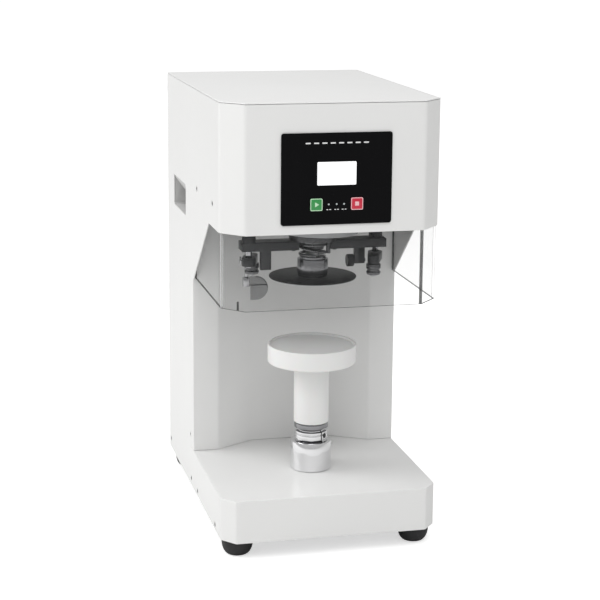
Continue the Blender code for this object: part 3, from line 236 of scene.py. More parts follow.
def lathe(profile, centre, steps=96, soft=0.0003, closed=False):
    """A bmesh of a half outline swept round a vertical line, its sharp corners broken."""
    bm = bmesh.new()
    verts = [bm.verts.new((r, 0.0, z)) for r, z in profile]
    edges = [bm.edges.new(pair) for pair in zip(verts, verts[1:])]
    if closed:
        edges.append(bm.edges.new((verts[-1], verts[0])))
    bmesh.ops.spin(bm, geom=verts + edges, cent=(0, 0, 0), axis=(0, 0, 1), dvec=(0, 0, 0),
                   angle=tau, steps=steps, use_merge=True)
    bmesh.ops.remove_doubles(bm, verts=bm.verts, dist=0.000002)
    bmesh.ops.recalc_face_normals(bm, faces=bm.faces)
    if soft:
        soften(bm, soft, 28)
    bmesh.ops.translate(bm, verts=bm.verts, vec=(centre[0], centre[1], 0.0))
    return bm


def middle(node):
    """The middle of a frame node's box."""
    low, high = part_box(node)
    return (low + high) / 2


for end in ("front", "rear"):
    for hand in ("left", "right"):
        node = f"foot_{end}_{hand}"
        low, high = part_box(node)
        wide, tall = (high.x - low.x) / 2, high.z
        dome = [(wide * (0.52 + 0.48 * cos(turn)), tall * (0.80 + 0.80 * sin(turn)))
                for turn in (-pi / 2 * i / 10 for i in range(11))]
        foot = lathe([(0.0, tall), (wide, tall), *dome, (0.0, 0.0)], middle(node), 64, 0.0006)
        settle(node + "_rubber", foot, rubber, "frame", [node])

# Side panels. Flat C-shaped sheets, powder coated, held by seven countersunk screws each, with
# a window for the carry handle. The screws are blackened steel with a hexagon socket.
blackened = finish("blackened steel", (0.055, 0.055, 0.057), (0.038, 0.038, 0.040), (0.26, 0.40), 900.0,
                   0.00004, 0.75)
SCREWS = ((-0.0257, 0.428), (-0.132, 0.427), (0.190, 0.0346), (0.0276, 0.091), (0.0237, 0.031),
          (-0.0228, 0.029), (-0.146, 0.028))
SCREW_HEAD = 0.0034


def cut_away(bm, cutter):
    """Takes one bmesh out of another and returns the result; both are used up."""
    pair = []
    for one in (bm, cutter):
        mesh = bpy.data.meshes.new("cut")
        one.to_mesh(mesh)
        one.free()
        pair.append(bpy.data.objects.new("cut", mesh))
        bpy.context.scene.collection.objects.link(pair[-1])
    step = pair[0].modifiers.new("cut", "BOOLEAN")
    step.object = pair[1]
    step.operation = "DIFFERENCE"
    bpy.context.view_layer.update()
    graph = bpy.context.evaluated_depsgraph_get()
    result = bmesh.new()
    result.from_object(pair[0], graph)
    for one in pair:
        mesh = one.data
        bpy.data.objects.remove(one)
        bpy.data.meshes.remove(mesh)
    return result


def facing(point, direction):
    """A matrix that stands a shape made along +Z on a point, along a direction."""
    turn = Vector(direction).to_track_quat("Z", "Y").to_matrix().to_4x4()
    return Matrix.Translation(point) @ turn


def screw_head(bm, point, direction, radius, proud=0.0):
    """A low domed head with a hexagon socket, its rim sunk below the surface by the rest of its height."""
    tall = radius * 0.5
    head = bmesh.new()
    rim = [(0.0, 0.0), (radius * 0.55, 0.0), (radius * 0.85, -tall * 0.25), (radius, -tall * 0.75),
           (radius, -tall), (0.0, -tall)]
    verts = [head.verts.new((r, 0.0, z)) for r, z in rim]
    edges = [head.edges.new(pair) for pair in zip(verts, verts[1:])]
    bmesh.ops.spin(head, geom=verts + edges, cent=(0, 0, 0), axis=(0, 0, 1), dvec=(0, 0, 0),
                   angle=tau, steps=24, use_merge=True)
    bmesh.ops.remove_doubles(head, verts=head.verts, dist=0.000001)
    bmesh.ops.recalc_face_normals(head, faces=head.faces)
    socket = bmesh.new()
    bmesh.ops.create_cone(socket, cap_ends=True, segments=6, radius1=radius * 0.45,
                          radius2=radius * 0.45, depth=tall)
    head = cut_away(head, socket)
    bmesh.ops.transform(head, verts=head.verts,
                        matrix=facing(Vector(point) + Vector(direction) * proud, direction))
    mesh = bpy.data.meshes.new("head")
    head.to_mesh(mesh)
    head.free()
    bm.from_mesh(mesh)
    bpy.data.meshes.remove(mesh)


for hand, side in (("left", -1), ("right", 1)):
    node = f"side_panel_{hand}"
    panel = copied(node)
    dimples = bmesh.new()
    heads = bmesh.new()
    for y, z in SCREWS:
        at = Vector((side * HALF_WIDTH, y, z))
        bmesh.ops.create_cone(dimples, cap_ends=True, segments=32, radius1=SCREW_HEAD + 0.0003,
                              radius2=SCREW_HEAD + 0.0011, depth=0.0024,
                              matrix=facing(at, (side, 0, 0)))
        screw_head(heads, at, (side, 0, 0), SCREW_HEAD, -0.0001)
    panel = cut_away(panel, dimples)
    soften(panel, 0.00022, 50, 2)
    settle(node + "_sheet", panel, powder, "frame", [node], 24, True)
    settle(f"side_screws_{hand}", heads, blackened, "frame")

# Head covers and column. Folded sheets like the base: the front cover with its chamfered
# corners, the lid, the rear panel with its vents, and the stepped cover of the column.
folded("head_front_cover", 0.0030, 0.00035)
for node, edge in (("top_cover", 0.0011), ("rear_panel", 0.0003)):
    cover = copied(node)
    soften(cover, edge, 30, 3 if node == "top_cover" else 2)
    settle(node + "_sheet", cover, powder, "frame", [node], 24, True)
folded("column_cover", 0.0022, 0.00030)

# Clear guard. Bent acrylic sheet, 2.5 mm thick, hung inside the head cover. Its sawn edges and its right
# bends are painted dark as shade, its left bend gets a painted highlight, and a short slit by the left
# corner frees it.
def glazed(name, colour, share, roughness=0.06):
    """Clear plastic that lets most light straight through; share is how much of it stays."""
    made = finish(name, colour, [0.9 * one for one in colour], (roughness, 2 * roughness), 700.0, 0.000004)
    shader_of(made).inputs["Alpha"].default_value = share
    shader_of(made).inputs["Specular IOR Level"].default_value = 0.15
    return made


clear = glazed("clear acrylic", (0.16, 0.165, 0.165), 0.07)
# Two painted looks for the guard: a dark one for shade on its edges and right bends, and a pale one for the
# highlight on its left bend.
shade_painted_acrylic = glazed("acrylic painted dark as shade", (0.045, 0.047, 0.047), 0.85, 0.3)
highlight_painted_acrylic = glazed("acrylic with a painted highlight", (0.62, 0.63, 0.63), 0.55)
GUARD_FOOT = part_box("clear_guard")[0].z
GUARD_HANGS = HALF_WIDTH - 0.012
SLIT_AT = (-0.1150, FRONT_FACE + 0.0120, GUARD_FOOT + 0.004)
SLIT_SIZE = (0.0014, 0.012, 0.014)
CHAMFER_TURN = radians(-47)
guard = copied("clear_guard")
slit = bmesh.new()
bmesh.ops.create_cube(slit, size=1.0, matrix=Matrix.LocRotScale(
    SLIT_AT, Matrix.Rotation(CHAMFER_TURN, 3, "Z"), SLIT_SIZE))
guard = cut_away(guard, slit)
bmesh.ops.dissolve_limit(guard, angle_limit=radians(0.5), verts=guard.verts, edges=guard.edges)
CLEAR, PAINTED_SHADE, PAINTED_HIGHLIGHT = 0, 1, 2
SHEET_EDGE = 0.0030
bends = soften(guard, 0.0016, 12, 4, lambda one: upright(one) and one.calc_face_angle() < radians(75)
               and one.calc_length() > 0.02)
# The right bends take the painted shade, the leftmost bend the painted highlight.
for face in bends:
    where = face.calc_center_median().x
    face.material_index = PAINTED_SHADE if where > 0 else PAINTED_HIGHLIGHT if where < -GUARD_HANGS else CLEAR
# Thin edge faces and the sheet's top and bottom edges take the painted shade.
for face in guard.faces:
    thin = min(edge.calc_length() for edge in face.edges)
    if face.material_index == CLEAR and len(face.edges) == 4 and thin < SHEET_EDGE and face not in bends:
        face.material_index = PAINTED_SHADE
    if abs(face.normal.z) > 0.9:
        face.material_index = PAINTED_SHADE
sheet = settle("clear_guard_sheet", guard, clear, "frame", ["clear_guard"], 24, True)
for more in (shade_painted_acrylic, highlight_painted_acrylic):
    sheet.data.materials.append(more)

# Carry handles. Moulded cups set in the sides, each with a sloping grip, painted a darker grey than their
# own light grey as shade for their pockets.
moulded = finish("cup moulding darkened as painted shade", (0.52, 0.52, 0.515), (0.48, 0.48, 0.475), (0.42, 0.52), 1800.0, 0.00005)
for hand in ("left", "right"):
    cup = copied(f"handle_cup_{hand}")
    soften(cup, 0.0003, 40, 2)
    settle(f"handle_moulding_{hand}", cup, moulded, "frame", [f"handle_cup_{hand}"])

# Inner frame, drive and lift gear. Plain and blackened steel, seen only from below or through
# the vents, so the frame's own shapes stay and take the right finishes.
board = finish("circuit board", (0.02, 0.17, 0.07), (0.015, 0.13, 0.05), (0.35, 0.5), 900.0, 0.00003)
for name, material in (("column_frame", brushed), ("head_plate", brushed), ("spindle_bridge", brushed),
                       ("bearing_housing", blackened), ("lower_bearing", brushed),
                       ("upper_bearing", brushed), ("drive_motor", blackened), ("drive_belt", rubber),
                       ("lift_motor", blackened), ("lift_belt", rubber), ("motor_pulley", brushed),
                       ("lift_motor_pulley", brushed), ("turret_pulley", brushed),
                       ("lift_screw", brushed), ("feed_cam", brushed), ("chuck_nut", brushed),
                       ("chuck_rod", brushed), ("control_board", board)):
    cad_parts[name].material_slots[0].material = material

# Turret. A blackened flange on a hollow shaft, with two bars screwed up against it, one to each
# side of the spring. A dark pin hangs from the flange in front of the spring.
turned_black = finish("turned blackened steel", (0.10, 0.10, 0.103), (0.070, 0.070, 0.073), (0.22, 0.36),
                      1400.0, 0.00003, 0.8, turned_at=SPINDLE)
BOSS_RISE, BAR_THICK, FIT, BORE_ROOM = 0.008, 0.011, 0.0003, 0.0006
BAR_SCREWS, BAR_SCREW = (0.0262, 0.0065), 0.0032
low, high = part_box("turret_tube")
bar_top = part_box("turret_beam_right")[1].z - BOSS_RISE
flange_low = bar_top + FIT
flange_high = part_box("feed_cam")[0].z - 0.0022
flange_wide = (high.x - low.x) / 2
shaft_wide = flange_wide - 0.0163
guide_wide = 0.0138
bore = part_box("chuck_rod")[1].x + BORE_ROOM
hollow = [(shaft_wide, high.z), (shaft_wide, flange_high), (flange_wide, flange_high),
          (flange_wide, flange_low), (guide_wide, flange_low), (guide_wide, low.z), (bore, low.z),
          (bore, high.z)]
settle("turret_flange", lathe(hollow, SPINDLE, closed=True), turned_black, "turret",
       ["turret_tube"])
bolts = bmesh.new()
for hand, side in (("left", -1), ("right", 1)):
    bar = copied(f"turret_beam_{hand}")
    soften(bar, 0.0006, 40, 2)
    settle(f"turret_bar_{hand}", bar, blackened, "turret", [f"turret_beam_{hand}"])
    for away in (-BAR_SCREWS[1], BAR_SCREWS[1]):
        screw_head(bolts, (side * BAR_SCREWS[0], SPINDLE.y + away, bar_top - BAR_THICK), (0, 0, -1),
                   BAR_SCREW, BAR_SCREW / 2)
settle("bar_screws", bolts, blackened, "turret")
polished = finish("polished steel", (0.46, 0.46, 0.47), (0.40, 0.40, 0.41), (0.05, 0.12), 900.0,
                  0.000006, 1.0)
low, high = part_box("stop_pin")
thick = (high.x - low.x) / 2
pin = lathe([(0.0, high.z), (thick, high.z), (thick, low.z), (0.0, low.z)], middle("stop_pin"), 32, 0.0005)
settle("turret_pin", pin, turned_black, "turret", ["stop_pin"])

# Seaming arms. Blackened steel arms on ground rocker shafts, hung under the ends of the bars.
# Each carries a hardened roller with a seaming groove, held by a domed screw from below.
for hand, side in (("left", -1), ("right", 1)):
    body = f"arm_{hand}"
    arm = copied(f"seaming_arm_{hand}")
    soften(arm, 0.0007, 40, 2)
    settle(f"{body}_steel", arm, blackened, body, [f"seaming_arm_{hand}"])
    shaft = copied(f"rocker_shaft_{hand}")
    soften(shaft, 0.0003, 40, 2)
    settle(f"{body}_shaft", shaft, polished, body, [f"rocker_shaft_{hand}"])
    at = middle(f"seaming_roller_{hand}")
    low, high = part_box(f"seaming_roller_{hand}")
    wide = (high.x - low.x) / 2
    waist = low.z + 0.42 * (high.z - low.z)
    groove = [(wide * (1 - 0.16 * cos(pi * t / 16)), waist - 0.0024 * t / 8) for t in range(-8, 9)]
    outline = [(wide - 0.0003, high.z), *groove, (wide - 0.0012, low.z), (0.0033, low.z), (0.0033, high.z)]
    hardened = finish(f"hardened steel {hand}", (0.17, 0.17, 0.175), (0.12, 0.12, 0.125), (0.16, 0.28),
                      1600.0, 0.00002, 0.9, turned_at=at)
    settle(f"roller_{hand}_steel", lathe(outline, at, 72, 0.0005, True), hardened, f"roller_{hand}",
           [f"seaming_roller_{hand}"])
    keeper = bmesh.new()
    screw_head(keeper, (at.x, at.y, low.z - 0.002), (0, 0, -1), 0.0040, 0.0006)
    settle(f"roller_screw_{hand}", keeper, polished, body)

# Adjusting screw. A blackened screw through the right block, with a knurled knob that sets how far
# the roller stands off.
low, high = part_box("adjusting_screw")
centre = middle("adjusting_screw")
KNOB, STEM, RIDGES = 0.0085, 0.0020, 32
reach = (high.z - low.z) / 2
knob = bmesh.new()
rim = [Matrix.Rotation(pi * i / RIDGES, 4, "Z") @ Vector((reach - 0.0006 * (i % 2), 0, 0))
       for i in range(2 * RIDGES)]
end = knob.faces.new([knob.verts.new(point) for point in rim])
grown = bmesh.ops.extrude_face_region(knob, geom=[end])
bmesh.ops.translate(knob, verts=[v for v in grown["geom"] if isinstance(v, bmesh.types.BMVert)],
                    vec=(0, 0, KNOB))
bmesh.ops.recalc_face_normals(knob, faces=knob.faces)
soften(knob, 0.0007, 80, 2)
bmesh.ops.create_cone(knob, cap_ends=True, segments=32, radius1=STEM, radius2=STEM, depth=high.x - low.x,
                      matrix=Matrix.Translation((0, 0, (high.x - low.x) / 2)))
bmesh.ops.transform(knob, verts=knob.verts, matrix=facing((low.x, centre.y, centre.z), (1, 0, 0)))
settle("adjusting_knob", knob, blackened, "turret", ["adjusting_screw"], 20)

# Chuck. A thin satin black disc under a turned steel hub, with a heavy coil spring between the hub
# and the turret flange. The disc's lower edge is ground bright.
turned_steel = finish("turned steel", (0.34, 0.34, 0.35), (0.24, 0.24, 0.25), (0.12, 0.22), 1500.0,
                      0.000008, 1.0, turned_at=SPINDLE)
low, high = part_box("chuck_disc")
wide = (high.x - low.x) / 2
satin_black = finish("satin black disc", (0.009, 0.009, 0.0095), (0.013, 0.013, 0.0135), (0.30, 0.40),
                     1800.0, 0.000004, turned_at=SPINDLE)
shader_of(satin_black).inputs["Specular IOR Level"].default_value = 0.10
plate = lathe([(0.0, high.z), (wide, high.z), (wide, low.z + 0.0005), (0.0, low.z + 0.0005)], SPINDLE, 160,
              0.0003)
settle("chuck_plate", plate, satin_black, "chuck", ["chuck_disc"])
lip = lathe([(wide - 0.0004, low.z + 0.0005), (wide - 0.0007, low.z), (wide - 0.004, low.z),
             (wide - 0.004, low.z + 0.0005)], SPINDLE, 160, 0.0, True)
settle("chuck_lip", lip, polished, "chuck")
low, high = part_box("chuck_hub")
wide = (high.x - low.x) / 2
seat, shoulder = wide - 0.0027, high.z - 0.0035
hub = lathe([(0.0, high.z), (seat, high.z), (seat, shoulder + 0.0008), (seat - 0.0008, shoulder + 0.0008),
             (seat - 0.0008, shoulder), (wide, shoulder), (wide, low.z + 0.004),
             (wide - 0.0005, low.z + 0.0034), (wide - 0.0005, low.z), (0.0, low.z)], SPINDLE, 112, 0.0004)
settle("chuck_hub_steel", hub, turned_steel, "chuck", ["chuck_hub"])
low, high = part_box("chuck_spring")
WIRE = 0.0018
coil = (high.x - low.x) / 2 - WIRE
spring = bmesh.new()
start, turns, steps = -0.85 * pi, 6.35 * pi, 216
close = 2 * WIRE + 0.0003
drop = (high.z - low.z) - 2 * WIRE - close
section = bmesh.ops.create_circle(spring, cap_ends=True, segments=16, radius=WIRE)["verts"]
bmesh.ops.transform(spring, verts=section, matrix=Matrix.Rotation(start, 4, "Z")
                    @ Matrix.Translation((coil, 0, high.z - WIRE)) @ Matrix.Rotation(pi / 2, 4, "X"))
moving = list(spring.faces) + list(spring.edges) + list(spring.verts)


def fallen(step):
    """How far down the wire has come after this many steps: wound close, then steep, then flat."""
    wound = turns * step / steps
    share = min(1.0, max(0.0, (start + wound - 2.3 * pi) / (2.2 * pi)))
    return close * min(1.0, wound / tau) + drop * share * share * (3 - 2 * share)


for step in range(steps):
    swept = bmesh.ops.spin(spring, geom=moving, cent=(0, 0, 0), axis=(0, 0, 1), angle=turns / steps,
                           steps=1, dvec=(0, 0, fallen(step) - fallen(step + 1)))
    moving = swept["geom_last"]
bmesh.ops.recalc_face_normals(spring, faces=spring.faces)
bmesh.ops.translate(spring, verts=spring.verts, vec=SPINDLE)
spring_steel = finish("spring steel", (0.26, 0.26, 0.265), (0.16, 0.16, 0.165), (0.20, 0.34), 900.0,
                      0.00003, 0.95)
settle("chuck_coil", spring, spring_steel, "frame", ["chuck_spring"], 50)
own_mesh(bpy.data.objects["chuck_coil"])

# Lift. A chromed sleeve stands on the base and guides a steel rod, which a chromed split collar
# clamps. The rod's flange carries a nylon post and a nylon tray with a shallow rim.
nylon = finish("turned nylon", (0.83, 0.83, 0.82), (0.79, 0.79, 0.78), (0.34, 0.46), 1100.0, 0.00003,
               turned_at=SPINDLE)
shader_of(nylon).inputs["Subsurface Weight"].default_value = 0.08
shader_of(nylon).inputs["Subsurface Scale"].default_value = 0.004
chrome = finish("chromed steel", (0.82, 0.82, 0.83), (0.76, 0.76, 0.77), (0.03, 0.08), 1200.0,
                0.000006, 1.0, turned_at=SPINDLE)
low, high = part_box("lift_sleeve")
wide, inside = (high.x - low.x) / 2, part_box("lift_rod")[1].x - 0.0215 + 0.0140
sleeve = lathe([(wide, high.z), (wide, low.z), (inside, low.z), (inside, high.z - 0.004),
                (inside + 0.0050, high.z)], SPINDLE, 128, 0.0012, True)
settle("lift_sleeve_chrome", sleeve, chrome, "frame", ["lift_sleeve"])
low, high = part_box("clamp_collar")
wide = (high.x - low.x) / 2
collar = lathe([(wide, high.z - 0.0012), (wide, low.z + 0.0075), (wide - 0.0008, low.z + 0.0072),
                (wide - 0.0008, low.z + 0.0062), (wide, low.z + 0.0059), (wide, low.z), (0.0138, low.z),
                (0.0138, high.z), (wide - 0.0045, high.z), (wide - 0.0045, high.z - 0.0012)],
               SPINDLE, 112, 0.0003, True)
slit = bmesh.new()
bmesh.ops.create_cube(slit, size=1.0, matrix=Matrix.LocRotScale(
    (0.0088, SPINDLE.y - 0.018, (low.z + high.z) / 2), None, (0.0013, 0.018, 0.03)))
POCKET_ROUND, POCKET_FACES = -0.85, -0.55
outward = (cos(POCKET_FACES), sin(POCKET_FACES), 0)
pocket = Vector((wide * cos(POCKET_ROUND), SPINDLE.y + wide * sin(POCKET_ROUND), low.z + 0.0055))
bmesh.ops.create_cone(slit, cap_ends=True, segments=32, radius1=0.0034, radius2=0.0034, depth=0.006,
                      matrix=facing(pocket, outward))
collar = cut_away(collar, slit)
settle("collar_chrome", collar, chrome, "lift", ["clamp_collar"])
clamp = bmesh.new()
screw_head(clamp, pocket, outward, 0.0030, -0.0010)
settle("collar_screw", clamp, blackened, "lift")
low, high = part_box("lift_rod")
wide, neck = (high.x - low.x) / 2, (high.x - low.x) / 2 - 0.0080
flange = high.z - 0.0068
bar = lathe([(0.0, high.z), (wide, high.z), (wide, flange), (neck, flange), (neck, low.z + 0.001),
             (0.0070, low.z + 0.001), (0.0070, flange), (0.0, flange)], SPINDLE, 96, 0.0007)
settle("lift_rod_steel", bar, turned_steel, "lift", ["lift_rod"])
low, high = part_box("nylon_post")
post = lathe([(0.0, high.z), ((high.x - low.x) / 2, high.z), ((high.x - low.x) / 2, low.z), (0.0, low.z)],
             SPINDLE, 112, 0.0012)
settle("post_nylon", post, nylon, "lift", ["nylon_post"])
low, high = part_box("tray")
wide = (high.x - low.x) / 2
dish = lathe([(0.0, high.z - 0.0025), (wide - 0.0035, high.z - 0.0025), (wide - 0.0030, high.z),
              (wide, high.z), (wide, low.z), (0.0, low.z)], SPINDLE, 160, 0.0)
soften(dish, 0.0006, 28, 3, lambda edge: edge.verts[0].co.z > low.z + 0.01)
soften(dish, 0.0022, 28, 4, lambda edge: edge.verts[0].co.z < low.z + 0.01)
settle("tray_nylon", dish, nylon, "lift", ["tray"])

# Control panel. A gloss black membrane on a stiff plate, with a pale display window, a green and a
# red push button with plain marks in place of words, and three small indicator lamps.
gloss_black = finish("gloss black membrane", (0.0045, 0.0045, 0.005), (0.006, 0.006, 0.0065), (0.20, 0.30),
                     900.0, 0.00001)
shader_of(gloss_black).inputs["Specular IOR Level"].default_value = 0.04
print_white = finish("white print", (0.80, 0.80, 0.80), (0.72, 0.72, 0.72), (0.4, 0.5), 900.0, 0.00001)
face = copied("control_panel")
soften(face, 0.0003, 40, 2)
settle("panel_membrane", face, gloss_black, "frame", ["control_panel"], flats=True)
# The pale display window is given a glow of its own: painted light.
glow_painted_display = finish("display with painted glow", (0.92, 0.93, 0.93), (0.88, 0.89, 0.90), (0.25, 0.35), 1200.0, 0.00001)
shader_of(glow_painted_display).inputs["Emission Color"].default_value = (1.0, 1.0, 1.0, 1.0)
shader_of(glow_painted_display).inputs["Emission Strength"].default_value = 0.5
window = copied("display_window")
soften(window, 0.00015, 40, 2)
settle("display_glass", window, glow_painted_display, "frame", ["display_window"])
PANEL_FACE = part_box("control_panel")[0].y


def rounded_block(bm, x, z, wide, high, radius, front, back):
    """A block with round corners, seen from the front, between two depths."""
    place = Vector((x, back, z))
    corners = bmesh.ops.create_grid(bm, x_segments=1, y_segments=1, size=0.5,
                                    matrix=Matrix.LocRotScale(place, None, (wide, 1, high))
                                    @ Matrix.Rotation(pi / 2, 4, "X"))["verts"]
    bmesh.ops.bevel(bm, geom=corners, offset=radius, offset_type="OFFSET", segments=4, profile=0.5,
                    affect="VERTICES", clamp_overlap=True, material=-1)
    end = min(bm.faces, key=lambda one: (one.calc_center_median() - place).length)
    grown = bmesh.ops.extrude_face_region(bm, geom=[end])
    bmesh.ops.translate(bm, verts=[v for v in grown["geom"] if isinstance(v, bmesh.types.BMVert)],
                        vec=(0.0, front - back, 0.0))


PRINT_FRONT, PRINT_BACK = PANEL_FACE - 0.00008, PANEL_FACE + 0.0004
LAMPS_X, LAMP = (-0.0095, 0.0, 0.0090), 0.0011
marks = bmesh.new()
low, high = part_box("control_panel")
for step in range(8):
    rounded_block(marks, (step - 3.5) * 0.0100, high.z - 0.0120, 0.0062, 0.0016, 0.0007, PRINT_FRONT,
                  PRINT_BACK)
button_z = middle("start_button").z
for x in LAMPS_X:
    for shift in (-0.0017, 0.0017):
        rounded_block(marks, x + shift, button_z - 0.0062, 0.0021, 0.0010, 0.0003, PRINT_FRONT,
                      PRINT_BACK)
bmesh.ops.recalc_face_normals(marks, faces=marks.faces)
settle("panel_print", marks, print_white, "frame")
lamps = bmesh.new()
for x in LAMPS_X:
    bmesh.ops.create_uvsphere(lamps, u_segments=20, v_segments=12, radius=LAMP,
                              matrix=Matrix.LocRotScale((x, PANEL_FACE, button_z), None, (1, 0.55, 1)))
lamp = finish("lamp lens", (0.55, 0.60, 0.60), (0.48, 0.52, 0.52), (0.10, 0.18), 900.0, 0.00001)
settle("panel_lamps", lamps, lamp, "frame")
# Each row: the button, its colour, its second tone, and a paler copy of its colour that paints a highlight
# on its rim and also colours its printed mark.
BUTTONS = (("start_button", (0.035, 0.30, 0.075), (0.03, 0.25, 0.06), (0.55, 0.78, 0.55)),
           ("stop_button", (0.62, 0.022, 0.055), (0.52, 0.018, 0.045), (0.85, 0.52, 0.54)))
for name, colour, shade, rim in BUTTONS:
    low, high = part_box(name)
    at = (low + high) / 2
    plastic = finish(name + " plastic", colour, shade, (0.25, 0.38), 1100.0, 0.00002)
    # The paler copy: a painted highlight for the rim ring, and the colour of the printed mark.
    pale = finish(name + " edge", rim, rim, (0.35, 0.45), 1100.0, 0.00002)
    cap = bmesh.new()
    rounded_block(cap, at.x, at.z, 0.0146, 0.0146, 0.0015, low.y + 0.0002, high.y)
    bmesh.ops.recalc_face_normals(cap, faces=cap.faces)
    soften(cap, 0.0003, 50, 2)
    settle(name + "_cap", cap, plastic, name, [name])
    # A thin ring round the button's face in the painted highlight colour.
    edge = bmesh.new()
    rounded_block(edge, at.x, at.z, 0.0145, 0.0145, 0.0015, low.y + 0.00005, low.y + 0.0006)
    hole = bmesh.new()
    rounded_block(hole, at.x, at.z, 0.0127, 0.0127, 0.0010, low.y - 0.001, low.y + 0.002)
    for shape in (edge, hole):
        bmesh.ops.recalc_face_normals(shape, faces=shape.faces)
    edge = cut_away(edge, hole)
    settle(name + "_rim_highlight", edge, pale, name)
    mark = bmesh.new()
    sides = 3 if name == "start_button" else 4
    turn = -pi / 2 if sides == 3 else pi / 4
    bmesh.ops.create_cone(mark, cap_ends=True, segments=sides, radius1=0.0034, radius2=0.0034, depth=0.0004,
                          matrix=Matrix.Translation((at.x, low.y + 0.0003, at.z))
                          @ Matrix.Rotation(pi / 2, 4, "X") @ Matrix.Rotation(turn, 4, "Z"))
    soften(mark, 0.0001, 50, 2)
    settle(name + "_mark", mark, pale, name)

# Mains inlet and switch. Black moulded fittings in the rear panel: a three-pin inlet with bright
# steel pins, and a plain rocker with no marks. Domed screws hold the rear panel.
moulded_black = finish("moulded black", (0.016, 0.016, 0.017), (0.024, 0.024, 0.025), (0.34, 0.48), 1600.0,
                       0.00004)
inlet = copied("mains_inlet")
soften(inlet, 0.0003, 40, 2)
settle("inlet_moulding", inlet, moulded_black, "frame", ["mains_inlet"])
rocker = copied("power_switch")
soften(rocker, 0.0004, 25, 2)
settle("switch_rocker", rocker, moulded_black, "power_switch", ["power_switch"])
at = middle("mains_inlet")
pins = bmesh.new()
for x, z in ((-0.007, -0.002), (0.007, -0.002), (0.0, 0.003)):
    bmesh.ops.create_cube(pins, size=1.0, matrix=Matrix.LocRotScale(
        (at.x + x, REAR_FACE - 0.010, at.z + z), None, (0.0020, 0.0130, 0.0040)))
soften(pins, 0.0004, 50, 2)
settle("inlet_pins", pins, polished, "frame")
REAR_SCREWS_X, REAR_SCREWS_Z, REAR_SCREW = (-0.125, 0.125), (0.036, 0.190, 0.345, 0.500), 0.0030
rear_screws = bmesh.new()
for x in REAR_SCREWS_X:
    for z in REAR_SCREWS_Z:
        screw_head(rear_screws, (x, REAR_FACE, z), (0, 1, 0), REAR_SCREW, 0.0013)
settle("rear_screws", rear_screws, blackened, "frame")

# Side stop. A bright steel rod hangs behind the roller head, to its left, with two lock nuts, a wing screw
# and a clamp. It holds a half-round acrylic plate for a can's side, tinted grey partly as painted shade,
# with a dark binding.
low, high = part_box("stop_rod")
at = middle("stop_rod")
THIN, WIDE = 0.0024, 0.0049
CLAMP = (low.z, 0.0115)
NUTS = (low.z + 0.0291, low.z + 0.0361)
rod = lathe([(0.0, high.z), (THIN, high.z), (THIN, low.z + 0.001), (0.0, low.z + 0.001)], at, 32, 0.0002)
for base, tall, sides in ((*CLAMP, 32), (NUTS[0], 0.004, 6), (NUTS[1], 0.004, 6)):
    bmesh.ops.create_cone(rod, cap_ends=True, segments=sides, radius1=WIDE, radius2=WIDE, depth=tall,
                          matrix=Matrix.Translation((at.x, at.y, base + tall / 2)))
wing = Vector((at.x - 0.0078, at.y, NUTS[0] + 0.0040))
bmesh.ops.create_cone(rod, cap_ends=True, segments=20, radius1=0.0013, radius2=0.0013, depth=0.0095,
                      matrix=facing((at.x - 0.0045, at.y, wing.z), (1, 0, 0)))
bmesh.ops.create_cone(rod, cap_ends=True, segments=20, radius1=0.0011, radius2=0.0011, depth=0.0120,
                      matrix=Matrix.Translation(wing))
soften(rod, 0.0003, 50, 2, lambda edge: (edge.verts[0].co - Vector((at.x, at.y, edge.verts[0].co.z))).length
       > 0.003)
settle("stop_rod_chrome", rod, polished, "frame", ["stop_rod"])
shade_tinted_acrylic = glazed("acrylic tinted with painted shade", (0.26, 0.265, 0.27), 0.45)
half_round = copied("stop_plate")
soften(half_round, 0.0002, 50, 2)
settle("stop_plate_clear", half_round, shade_tinted_acrylic, "frame", ["stop_plate"])
low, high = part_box("stop_plate")
bow, BAND = (high.z - low.z) / 2, 0.0115
hub = Vector((high.x - bow, (low.y + high.y) / 2, (low.z + high.z) / 2))
binding = bmesh.new()
section = bmesh.ops.create_circle(binding, cap_ends=True, segments=10, radius=0.0007)["verts"]
bmesh.ops.transform(binding, verts=section, matrix=Matrix.Translation((bow - 0.0007, 0, 0)))
bmesh.ops.spin(binding, geom=list(binding.faces) + list(binding.edges) + list(binding.verts), cent=(0, 0, 0),
               axis=(0, -1, 0), angle=pi / 2, steps=24, dvec=(0, 0, 0), use_merge=False)
bmesh.ops.recalc_face_normals(binding, faces=binding.faces)
bmesh.ops.translate(binding, verts=binding.verts, vec=hub)
bmesh.ops.create_cube(binding, size=1.0, matrix=Matrix.LocRotScale(
    ((low.x + high.x) / 2, hub.y, high.z - BAND), None, (high.x - low.x - 0.0012, 0.0024, 0.0012)))
settle("stop_plate_binding", binding, blackened, "frame")

# Stage. A wide pale floor that is seen as evenly bright as the room, three wide soft lights, and a
# camera above the machine and to the left of its front.
paper = finish("pale floor", (0.88, 0.88, 0.875), (0.86, 0.86, 0.855), (0.8, 0.9), 60.0, 0.00005)
shader_of(paper).inputs["Emission Color"].default_value = (1.0, 1.0, 1.0, 1.0)
SEEN_GLOW = 0.58
seen = paper.node_tree.nodes.new("ShaderNodeMath")
seen.operation = "MULTIPLY"
seen.inputs[1].default_value = SEEN_GLOW
paper.node_tree.links.new(paper.node_tree.nodes.new("ShaderNodeLightPath").outputs["Is Camera Ray"],
                          seen.inputs[0])
paper.node_tree.links.new(seen.outputs[0], shader_of(paper).inputs["Emission Strength"])
shader_of(paper).inputs["Specular IOR Level"].default_value = 0.1
floor = bmesh.new()
bmesh.ops.create_grid(floor, x_segments=1, y_segments=1, size=60.0)
floor_mesh = bpy.data.meshes.new("floor")
floor.to_mesh(floor_mesh)
floor.free()
floor_mesh.materials.append(paper)
floor = bpy.data.objects.new("floor", floor_mesh)
bpy.context.scene.collection.objects.link(floor)

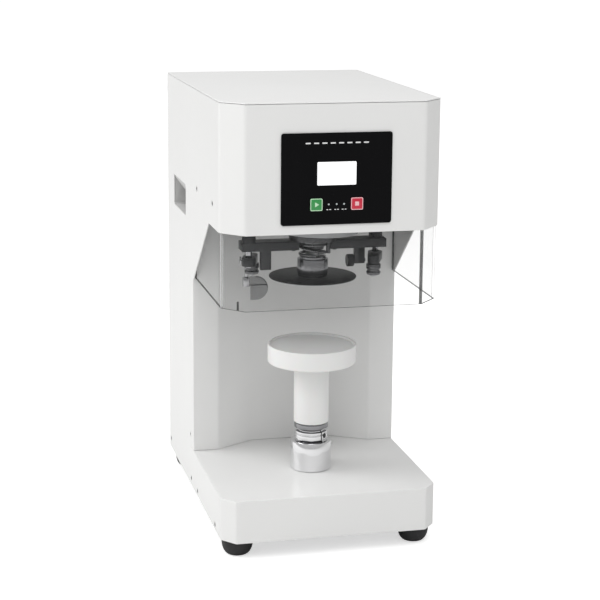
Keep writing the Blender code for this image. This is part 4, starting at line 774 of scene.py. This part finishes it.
room = bpy.data.worlds.new("Studio")
bpy.context.scene.world = room
room.use_nodes = True
nodes, links = room.node_tree.nodes, room.node_tree.links
dim = nodes["Background"]
dim.inputs["Color"].default_value = (1.0, 1.0, 1.0, 1.0)
dim.inputs["Strength"].default_value = 0.55
pale = nodes.new("ShaderNodeBackground")
pale.inputs["Color"].default_value = (1.0, 1.0, 1.0, 1.0)
either = nodes.new("ShaderNodeMixShader")
links.new(nodes.new("ShaderNodeLightPath").outputs["Is Camera Ray"], either.inputs[0])
links.new(dim.outputs[0], either.inputs[1])
links.new(pale.outputs[0], either.inputs[2])
links.new(either.outputs[0], nodes["World Output"].inputs[0])
bpy.context.scene.view_settings.view_transform = "Standard"
AIM = Vector((0.0, 0.0, 0.28))
for name, place, wide, power in (("side light", (-2.1, 0.5, 1.8), 1.8, 34.0),
                                 ("high light", (-0.1, -1.2, 2.6), 1.8, 20.0),
                                 ("front light", (-0.5, -2.2, 2.1), 1.6, 12.0)):
    lamp = bpy.data.lights.new(name, "AREA")
    lamp.shape = "SQUARE"
    lamp.size = wide
    lamp.energy = power
    stand = bpy.data.objects.new(name, lamp)
    stand.location = place
    stand.rotation_euler = (AIM - Vector(place)).to_track_quat("-Z", "Y").to_euler()
    bpy.context.scene.collection.objects.link(stand)

CAMERA_AT, YAW, PITCH, ROLL = Vector((-0.4946, -2.077, 0.764)), 0.2362, -0.1962, 0.0083
ahead = Vector((sin(YAW) * cos(PITCH), cos(YAW) * cos(PITCH), sin(PITCH)))
across = Vector((cos(YAW), -sin(YAW), 0.0))
above = across.cross(ahead)
right = across * cos(ROLL) + above * sin(ROLL)
up = above * cos(ROLL) - across * sin(ROLL)
lens = bpy.data.cameras.new("camera")
lens.lens = 100.58
lens.sensor_width = 36.0
lens.shift_y = -1 / 12
viewer = bpy.data.objects.new("camera", lens)
turn = Matrix((right, up, -ahead)).transposed()
viewer.matrix_world = Matrix.Translation(CAMERA_AT) @ turn.to_4x4()
bpy.context.scene.collection.objects.link(viewer)
bpy.context.scene.camera = viewer
